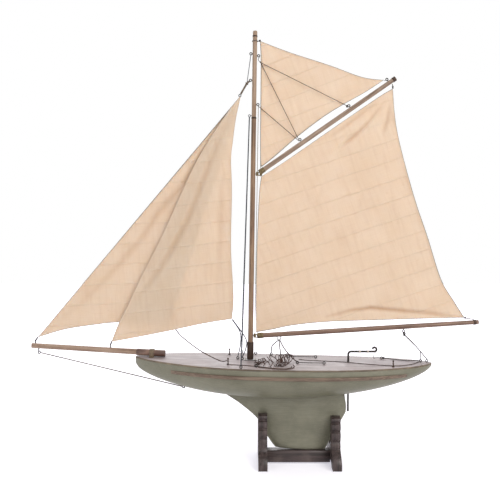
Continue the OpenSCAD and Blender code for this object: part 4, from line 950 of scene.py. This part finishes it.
# each line's node, finish, thickness and route; across names the moving body where it crosses a joint
lines = {
    "portShroud": dict(node="shrouds", finish=slateLine, thick=2.6, route=[
        strop + Vector((-0.2, -1.5, -2.6)), (chainX, -chainY + 0.4, chainZ)]),
    "starboardShroud": dict(node="shrouds", finish=slateLine, thick=2.6, route=[
        strop + Vector((-0.2, 1.5, -2.6)), (chainX, chainY - 0.4, chainZ)]),
    "bobstayLine": dict(node="bobstay", finish=bobLine, thick=2.4, route=[
        (-474.7, 0, 244.9), bobLow + Vector((-2.9, 0, 0.75))]),
    "luffLine": dict(node="luff_cord", finish=ropeLine, thick=1.3, route=[mastAt(57.8, 9.5), mastAt(403.5, 9.5)]),
    "peakHalyard": dict(node="gaff_halyards", finish=brownLine, thick=1.4, route=[
        mastAt(660.3, 9.5, -1.3), fork, (60, -1.6, 856), gaffAt(245.6, onGaffEye, -1.6)]),
    "bridleHalyard": dict(node="gaff_halyards", finish=brownLine, thick=1.4, route=[
        fork, gaffAt(116.6, onGaffEye + 1, -1.6)]),
    "lowerHalyard": dict(node="gaff_halyards", finish=brownLine, thick=1.4, route=[
        mastAt(555.3, 9.5, -1.3), gaffAt(115.4, onGaffEye - 1.2, -1.6)]),
    "throatHalyard": dict(node="gaff_halyards", finish=ropeLine, thick=1.3, route=[
        mastAt(555.3, 9.5, -0.6), mastAt(414.5, 9.5)]),
    "headRope": dict(node="headsail_halyard", finish=ropeLine, thick=4.4, route=[
        (-31.1, 0, 812.1), knot, mastAt(611, foreEye) + Vector((-2.6, 0, -2.3))]),
    "headLift": dict(node="headsail_halyard", finish=greyLine, thick=1.6, route=[
        knot, mastAt(668, foreEye) + Vector((-0.4, 0, -3.4))]),
    "sheetToStern": dict(node="main_sheet", finish=steerLine, thick=2.2, across="boom", route=[
        clip + Vector((1, 1.4, 0)), (348, 1.4, 268.5), (366, 1, 248.5), (381, 1, stern)]),
    "sheetToTraveller": dict(node="main_sheet", finish=steerLine, thick=1.8, across="boom", route=[
        clip + Vector((0, -1.2, 0)), (347, -1.4, 268), (364.5, -1, 250), (366.6, -1, 240),
        (367, -0.6, traveller)]),
    "fallToFarEye": dict(node="boom_falls", finish=brownLine, thick=2.5, across="boom", route=[
        boomAt(51, underStaple), (41.5, 10, 262), (38.5, 36, 251), (38, 62, deckZ(38, 62) + overEye)]),
    "fallToCoil": dict(node="boom_falls", finish=brownLine, thick=2.5, across="boom", route=[
        boomAt(53, underStaple - 0.1), (54.5, -13, 258), (56, -26, 245), (56.5, -29, 236),
        (57, -29, onDeck(57, -29) + 0.6)]),
    "fallAft": dict(node="boom_falls", finish=brownLine, thick=2.5, across="boom", route=[
        boomAt(55, underStaple), (65, 1, 254), (79, -5, 238), (88, -10, 230), (95, -12, onDeck(95, -12))]),
    "sheetHeap": dict(node="sheet_coil", finish=curlLine, thick=1.5, lay="coiled", end="knot", route=heapRoute()),
    "foresheetPort": dict(node="staysail_sheets", finish=slateLine, thick=2.4, across="staysail", route=[
        (-50.8, -1.2, 319.3), (-33, -1.5, 291), (-32.5, 0, 262), (-38, 2, deckZ(-38) + overEye)]),
    "foresheetAft": dict(node="staysail_sheets", finish=slateLine, thick=2.4, across="staysail", route=[
        (-49.4, -2.6, 319), (-20.5, -9, 278), (-20.5, -9, 255), (-28.1, -4, deckZ(-28, -4) + overEye)]),
    "jibSheetLine": dict(node="jib_sheet", finish=brownLine, thick=2.3, across="jib", lay="hanging", route=[
        (-186.2, 10.2, 311), (-177, 7, 297), (-164, 1, 282.5), (-138, -15, 265), (-112, -30, 251),
        (-76, -47, 237), (-60.3, -52, 238)]),
    "sternLine": dict(node="deck_line", finish=brownLine, thick=1.6, lay="loose", route=flatOnDeck(
        (98, 14), (120, 6), (160, 0), (184, -4), (214, -14), (246, -26), (280, -36), (314, -38), (340, -26),
        (356, -10), (363.2, -0.6))),
    "edgeLine": dict(node="deck_line", finish=brownLine, thick=1.6, lay="loose", end="bare", route=flatOnDeck(
        (-55.2, -54.4), (-38, -56), (-20, -57.5), (3, -63), (22, -69.5), (40, -74), (56, -76.5), (68, -74),
        (76, -66), (78, -55))),
    "edgeTail": dict(node="deck_line", finish=brownLine, thick=1.6, lay="loose", end="bare", route=flatOnDeck(
        (6.3, -68.4), (22, -73.5), (40, -78), (58, -80.3), (72, -77.5), (81, -67), (84, -54), (82, -42))),
    "tillerLine": dict(node="steering_line", finish=steerLine, thick=1.3, across="tiller", lay="loose", route=[
        (266.8, 0, 244.6), (264, 4, 238), (266, 14, 229.5), (276, 22, 230), (282.4, 29.6, tillerEye)]),
    "sternRope": dict(node="steering_line", finish=steerLine, thick=2.2, lay="loose", route=[
        (289.7, 29.5, tillerEye), (310, 20, 226), (338, 9, 225.4), (355, 3, 226.4),
        (363.4, 0.4, traveller - 3.5)]),
}
print("lines:", len(lines), "of", sum(rigLine(name, cord) for name, cord in lines.items()), "mm")

# the ring that both headsails hang from
headRing = {"centre": Vector((-33, 0, 808.8)), "radius": 2.4, "wire": 0.9, "around": 40, "section": 10}


def makeRing():
    around, section, wire = headRing["around"], headRing["section"], headRing["wire"]

    def place(i, j):
        turn, roll = 2 * pi * (i % around) / around, 2 * pi * (j % section) / section
        r = headRing["radius"] + wire * cos(roll)
        return headRing["centre"] + Vector((r * cos(turn), wire * sin(roll), r * sin(turn)))

    bm = shapedGrid(around, section, place, True)
    standFor(finishPiece("headRing", bm, wireIron, 80), "headsail_halyard")


makeRing()

# thread wound round a line or a sail's corner; lean is how far the winding goes aft as it rises
hitches = {
    "headKnot": dict(node="headsail_halyard", finish=ropeLine, centre=knot,
                     radius=2.5, rise=4.6, turns=2.5, thick=1.5),
    "forkSplice": dict(node="gaff_halyards", finish=brownLine, centre=fork,
                       radius=1.1, rise=2.9, turns=2, thick=0.8),
    "peakHitch": dict(node="gaff_halyards", finish=steerLine, centre=gaffAt(243.6, onGaffEye + 1.6, -1.6),
                      radius=1.4, rise=4.4, turns=3, thick=1.4),
    "clewHitch": dict(node="mainsail_lashings", finish=steerLine, centre=(464.6, 0, 322.6),
                      radius=1.7, rise=3.2, turns=3, thick=1.3),
    "peakLashing": dict(node="mainsail_lashings", finish=steerLine, centre=(299.6, 0, 827),
                        radius=1.3, rise=5, turns=4, thick=1.2),
    "topsailHitch": dict(node="topsail_lashings", finish=steerLine, centre=(10.2, 0, 926.6),
                         radius=1.8, rise=3, turns=3, thick=1.2),
    "jibTack": dict(node="sprit_hooks", finish=steerLine, centre=(-482.9, 0.2, 276),
                    radius=1.1, rise=8.4, lean=5.2, turns=5, thick=1.4),
    "staysailTack": dict(node="sprit_hooks", finish=steerLine, centre=(-318.4, -0.2, 266.8),
                         radius=1.1, rise=8, lean=2.6, turns=5, thick=1.4),
    "clipHitch": dict(node="sheet_clip", finish=steerLine, centre=clip + Vector((0.5, 0, -0.4)),
                      radius=2.0, rise=4.2, turns=3, thick=1.6),
    "steeringHitch": dict(node="deck_eyes", finish=steerLine, centre=(290.4, 29.4, tillerEye),
                          radius=1.9, rise=4.4, turns=3, thick=1.6),
}
hitchSteps = 40
for name, wound in hitches.items():
    route = []
    for k in range(hitchSteps + 1):
        turn, up = 2 * pi * wound["turns"] * k / hitchSteps, k / hitchSteps - 0.5
        aft = wound["radius"] * cos(turn) + wound.get("lean", 0) * up
        route.append(Vector(wound["centre"]) + Vector((aft, wound["radius"] * sin(turn), wound["rise"] * up)))
    standFor(layLine(name, route, wound["thick"], wound["finish"])[0], wound["node"])
print("ring and hitches:", 1 + len(hitches))

# sails: a cloth between four edge curves [x, z], full to one side, with hems, seams and set creases.
# A crease is its points, its half width and its depth; a deep one goes away from port
sails = {
    "mainsailCloth": {
        "node": "mainsail", "holds": ["boom", "gaff"],
        "luff": [(2.4, 290.4), (2.3, 372), (4.2, 478), (8.8, 590), (13.4, 633.2)],
        "leech": [(463, 323), (439, 360), (410, 409), (380, 500), (354, 574), (330, 654), (312, 723), (304, 772),
                  (299.5, 824)],
        "foot": [(2.4, 290.4), (35, 296), (88, 306.5), (166, 314), (272, 317.5), (376, 321), (463, 323)],
        "head": [(13.4, 633.2), (59, 662), (129, 710), (183, 747.4), (239.5, 786), (276, 810.4), (299.5, 824)],
        "full": 9, "y": 0, "twist": 0, "cells": (112, 128), "seam": (150, 354), "slope": 0.335, "pitch": 44.1,
        "flat": (0.47, 0.55), "wave": 1.3, "stitching": 0.07, "grime": 0.9, "creases": [
            ([(289, 804), (251, 756), (225, 728), (194, 704), (173, 683)], 5, 4.4),
            ([(289, 800), (268, 765), (233, 726), (207, 693)], 5.5, -3.0),
            ([(272, 795), (233, 761), (198, 722), (181, 693), (151, 672)], 6, -3.0),
            ([(294, 791), (288, 756), (279, 726)], 5, 3.8),
            ([(283, 806), (236, 771), (190, 738), (163, 718)], 5, 3.4),
            ([(157, 324), (210, 338), (254, 344), (325, 338), (387, 333), (453, 324)], 4.5, 7.0),
            ([(147, 617), (140, 582)], 7, 1.0), ([(241, 617), (232, 574), (228, 556)], 8, 1.1),
            ([(79, 468), (79, 380)], 9, 1.0), ([(296, 600), (303, 530)], 8, 1.0)]},
    "topsailCloth": {
        "node": "topsail", "holds": ["topmast", "gaff"],
        "luff": [(11.6, 654.2), (11.6, 740), (12.2, 830), (12.4, 890), (10.73, 926.03)],
        "leech": [(14.6, 655.2), (41.5, 676), (96, 723), (152, 765), (198, 793), (239, 816), (280, 842.5)],
        "foot": [(11.6, 654.2), (14.6, 655.2)],
        "head": [(10.73, 926.03), (75, 902), (162, 874), (232, 849), (280, 842.5)],
        "full": 5, "y": 0, "twist": 0, "cells": (70, 90), "seam": (60, 800), "slope": 0.375, "pitch": 44,
        "flat": (0.27, 0.27), "wave": 0.9, "stitching": 0.06, "grime": 0.9, "creases": [
            ([(219, 835), (256, 839), (268, 841)], 5, 1.3), ([(188, 828), (225, 833), (262, 838)], 6, -1.2)]},
    "jibCloth": {
        "node": "jib", "holds": ["sprit_hooks", "headsail_halyard"],
        "luff": [(-481, 279), (-34.2, 805.5)],
        "leech": [(-187, 312), (-141, 455), (-87, 620), (-32.2, 805.5)],
        "foot": [(-481, 279), (-423, 296), (-366, 305), (-301, 311.5), (-187, 312)],
        "head": [(-34.2, 805.5), (-32.2, 805.5)],
        "full": 5, "y": 1.2, "twist": 9, "cells": (80, 120), "seam": (-270, 443), "slope": 0.04, "pitch": 44,
        "flat": (0.31, 0.62), "wave": 1.0, "stitching": 0.03, "grime": 0.9, "creases": [
            ([(-465, 289), (-364, 371), (-297, 444), (-248, 499), (-213, 556), (-160, 613), (-120, 674),
              (-81, 730), (-55, 778)], 8, 3.0)]},
    "staysailCloth": {
        "node": "staysail", "holds": ["sprit_hooks", "headsail_halyard"],
        "luff": [(-317.5, 269.5), (-301, 311), (-281.4, 349), (-250, 414), (-219, 472), (-193, 525.5),
                 (-129, 664), (-66, 764), (-33.6, 805.3)],
        "leech": [(-51, 320.5), (-47.4, 371), (-52.6, 475), (-50.6, 602), (-52.4, 672), (-48, 713), (-41.5, 760),
                  (-31.6, 805.3)],
        "foot": [(-317.5, 269.5), (-250, 282), (-188, 294.5), (-113, 310.5), (-51, 320.5)],
        "head": [(-33.6, 805.3), (-31.6, 805.3)],
        "full": -6, "y": -1.2, "twist": 0, "cells": (80, 120), "seam": (-85, 400), "slope": 0.11, "pitch": 45,
        "flat": (0.27, 0.54), "wave": 1.0, "stitching": 0.03, "grime": 0.2, "creases": [
            ([(-59, 756), (-96, 670), (-121, 604), (-147, 539), (-187, 464), (-227, 406), (-263, 362)], 7, 3.8),
            ([(-72, 661), (-99, 587), (-116, 543), (-132, 481), (-156, 415), (-181, 340), (-188, 300)], 9, -3.4),
            ([(-68, 661), (-75, 600), (-75, 539), (-79, 459), (-86, 371)], 8, 2.4)]},
}
# the cloth's wall, how much of it a single layer has, the step down beside a seam, and its broad and small waves
clothShape = {"wall": 1.1, "single": 0.5, "step": 0.3, "broad": 85, "small": 24, "smallDepth": 0.35, "held": 0.25}


# how deep the set creases are at (x, z)
def creaseAt(creases, x, z):
    total = 0.0
    for points, width, depth in creases:
        best, place = 1e9, 0.0
        for n, ((x0, z0), (x1, z1)) in enumerate(zip(points, points[1:])):
            dx, dz = x1 - x0, z1 - z0
            f = min(1, max(0, ((x - x0) * dx + (z - z0) * dz) / (dx * dx + dz * dz)))
            gap = hypot(x - x0 - f * dx, z - z0 - f * dz)
            if gap < best:
                best, place = gap, (n + f) / (len(points) - 1)
        if best < 3 * width:
            total += depth * exp(-(best / width) ** 2) * (0.25 + 0.75 * sin(pi * place))
    return total


# rows close together at a hem of that width, then even; length is the way across in millimetres
def hemmed(index, count, length, hem):
    steps = [0, hem * 0.5, hem, hem + 1.2]
    ends = [min(s / length, 0.1 * k) for k, s in enumerate(steps)]
    if index < 4:
        return ends[index]
    if index > count - 4:
        return 1 - ends[count - index]
    return ends[3] + (1 - 2 * ends[3]) * (index - 3) / (count - 6)


def makeSail(name, sail):
    across, up = sail["cells"]
    hem, lap = cottonLook["hemMm"], cottonLook["lapMm"]
    luff, leech, foot, head = ([Vector(p) for p in sail[side]] for side in ("luff", "leech", "foot", "head"))
    width = [max(2, (onCurve(leech, j / up) - onCurve(luff, j / up)).length) for j in range(up + 1)]
    tall = [max(2, (onCurve(head, i / across) - onCurve(foot, i / across)).length) for i in range(across + 1)]

    def place(i, j):
        s, t = hemmed(i, across, width[j], hem), hemmed(j, up, tall[i], hem)
        p = (onCurve(luff, t) * (1 - s) + onCurve(leech, t) * s
             + onCurve(foot, s) * (1 - t) + onCurve(head, s) * t
             - foot[0] * ((1 - s) * (1 - t)) - foot[-1] * (s * (1 - t))
             - head[0] * ((1 - s) * t) - head[-1] * (s * t))
        # waves and creases are held flat along the edges
        loose = clothShape["held"] + (1 - clothShape["held"]) * min(1, 6 * min(s, 1 - s), 6 * min(t, 1 - t))
        broad, small = p / clothShape["broad"], p / clothShape["small"]
        rumple = sail["wave"] * noise.noise((broad.x, broad.y, 3.7))
        rumple += clothShape["smallDepth"] * noise.noise((small.x, small.y, 8.1))
        y = sail["y"] + sail["twist"] * s * (1 - t) + sail["full"] * sin(pi * s) * sin(pi * t)
        return p.x, y + (rumple + creaseAt(sail["creases"], p.x, p.y)) * loose, p.y

    bm = shapedGrid(across, up, place)
    start = Vector((sail["seam"][0], 0, sail["seam"][1]))
    level = sqrt(1 + sail["slope"] ** 2)
    wayUp = Vector((-sail["slope"], 0, 1)) / level
    wayAlong = Vector((1, 0, sail["slope"])) / level
    pitch = sail["pitch"] / level
    # the seams' edges are cut into the mesh, so that the double cloth there is really thicker
    heights = [(v.co - start).dot(wayUp) for v in bm.verts]
    for k in range(ceil(min(heights) / pitch), int(max(heights) / pitch) + 1):
        for off in (-lap - clothShape["step"], -lap, lap, lap + clothShape["step"]):
            bmesh.ops.bisect_plane(bm, geom=bm.verts[:] + bm.edges[:] + bm.faces[:], dist=0.001,
                                   plane_co=start + wayUp * (k * pitch + off), plane_no=wayUp)
    cell = bm.verts.layers.float_vector["cell"]
    inset = bm.verts.layers.float.new("inset")
    fold = bm.verts.layers.float.new("fold")
    uv = bm.loops.layers.uv.new("cloth")
    doubled = []
    bm.verts.index_update()
    for v in bm.verts:
        i, j, z = v[cell]
        # crease depth, which the cloth's material turns into painted shade in the folds
        v[fold] = creaseAt(sail["creases"], v.co.x, v.co.z)
        near = []
        for index, count, length in ((i, across, width[round(j)]), (j, up, tall[round(i)])):
            low = int(index)
            share = hemmed(low, count, length, hem)
            if low < count:
                share += (hemmed(low + 1, count, length, hem) - share) * (index - low)
            near.append(min(share, 1 - share) * length)
        v[inset] = min(30, *near)
        row = (v.co - start).dot(wayUp) / pitch
        doubled.append(1.0 if v[inset] < hem + 0.05 or abs(row - round(row)) * pitch < lap + 0.1 else 0.0)
    for face in bm.faces:
        for loop in face.loops:
            way = loop.vert.co - start
            loop[uv].uv = (way.dot(wayAlong) / 1000, way.dot(wayUp) / 1000)
    area = sum(face.calc_area() for face in bm.faces) / 1e6
    bmesh.ops.recalc_face_normals(bm, faces=bm.faces)
    cotton = sailCotton(name + "Cotton", dict(
        cottonLook, pitchMm=pitch, stitchShade=sail["stitching"], grime=sail["grime"]))
    piece = finishPiece(name, bm, cotton, 80)
    group = piece.vertex_groups.new(name="doubled")
    for index, weight in enumerate(doubled):
        group.add([index], weight, "REPLACE")
    wall = piece.modifiers.new("cloth", "SOLIDIFY")
    wall.thickness = clothShape["wall"] / 1000
    wall.offset = 0
    wall.vertex_group = "doubled"
    wall.thickness_vertex_group = clothShape["single"]
    standFor(piece, sail["node"])
    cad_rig.sheet(piece, flat=sail["flat"], held="stretched", rests_on=sail["holds"], area=round(area, 4))
    print("  ", name, round(area, 4), "m2,", len(piece.data.polygons), "faces")


for name, sail in sails.items():
    makeSail(name, sail)
print("sails:", len(sails))


# 1 for what the camera sees, straight, in a reflection or through glass
def cameraSees(tree):
    path = addNode(tree, "LightPath")
    mirrored = addNode(tree, "Math", [path.outputs["Is Camera Ray"], path.outputs["Is Glossy Ray"]],
                       operation="MAXIMUM")
    return addNode(tree, "Math", [mirrored, path.outputs["Is Transmission Ray"]], operation="MAXIMUM")


# white floor that keeps the shadow; only what the camera sees of it is lifted towards white
ground = {"half": 4000, "paper": "#f4f3f3", "glow": "#f4f2ff", "near": 0.5, "far": 1.0, "from": 0.35, "to": 2.2}
floorPaper, tree, coords = startMaterial("whitePaper")
paper = addNode(tree, "BsdfDiffuse", {"Color": ground["paper"]})
away = addNode(tree, "VectorMath", [coords.outputs["Object"]], operation="LENGTH")
lift = addNode(tree, "MapRange", [
    away.outputs["Value"], ground["from"], ground["to"], ground["near"], ground["far"]])
lifted = addNode(tree, "Math", [cameraSees(tree), lift], operation="MULTIPLY")
glow = addNode(tree, "Emission", {"Color": ground["glow"], "Strength": lifted})
both = addNode(tree, "AddShader", [paper, glow])
addNode(tree, "OutputMaterial", {"Surface": both})
bm = bmesh.new()
bmesh.ops.create_grid(bm, x_segments=1, y_segments=1, size=ground["half"])
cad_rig.stage(finishPiece("floorPaper", bm, floorPaper))

sky = {"colour": "#fbfaf8", "strength": 0.42}
world = bpy.data.worlds.new("studio")
scene.world = world
world.use_nodes = True
tree = world.node_tree
tree.nodes.clear()
soft = addNode(tree, "Background", {"Color": sky["colour"], "Strength": sky["strength"]})
white = addNode(tree, "Background", {"Color": "#ffffff", "Strength": 1.0})
either = addNode(tree, "MixShader", [cameraSees(tree), soft, white])
addNode(tree, "OutputWorld", {"Surface": either})


# soft boxes: place, aim and size in metres, power in watts
def softBox(name, place, aim, size, power, colour):
    lamp = bpy.data.lights.new(name, "AREA")
    lamp.shape = "RECTANGLE"
    lamp.size, lamp.size_y = size
    lamp.energy = power
    lamp.color = toLinear(colour)[:3]
    box = bpy.data.objects.new(name, lamp)
    box.location = place
    box.rotation_euler = (Vector(aim) - Vector(place)).to_track_quat("-Z", "Y").to_euler()
    scene.collection.objects.link(box)


softBox("keyBox", (1.4, -1.8, 1.9), (0, 0, 0.45), (1.8, 1.8), 38, "#fffcf8")
softBox("fillBox", (-1.9, -1.5, 1.2), (0, 0, 0.45), (1.4, 1.4), 10, "#f6f8ff")
softBox("topBox", (0.1, 0.3, 2.4), (0, 0, 0.3), (1.8, 1.4), 3, "#fbfcff")
softBox("backBox", (0, 2.0, 1.5), (0, 0, 0.55), (2.0, 1.0), 27, "#fdfdff")
print("floor, world and lights set")

low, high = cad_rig.bounds()
with open("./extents.json", "w") as out:
    json.dump({"cad": [[float(v) for v in corner] for corner in cadBox],
               "dressed": [[float(v) for v in low], [float(v) for v in high]]}, out)
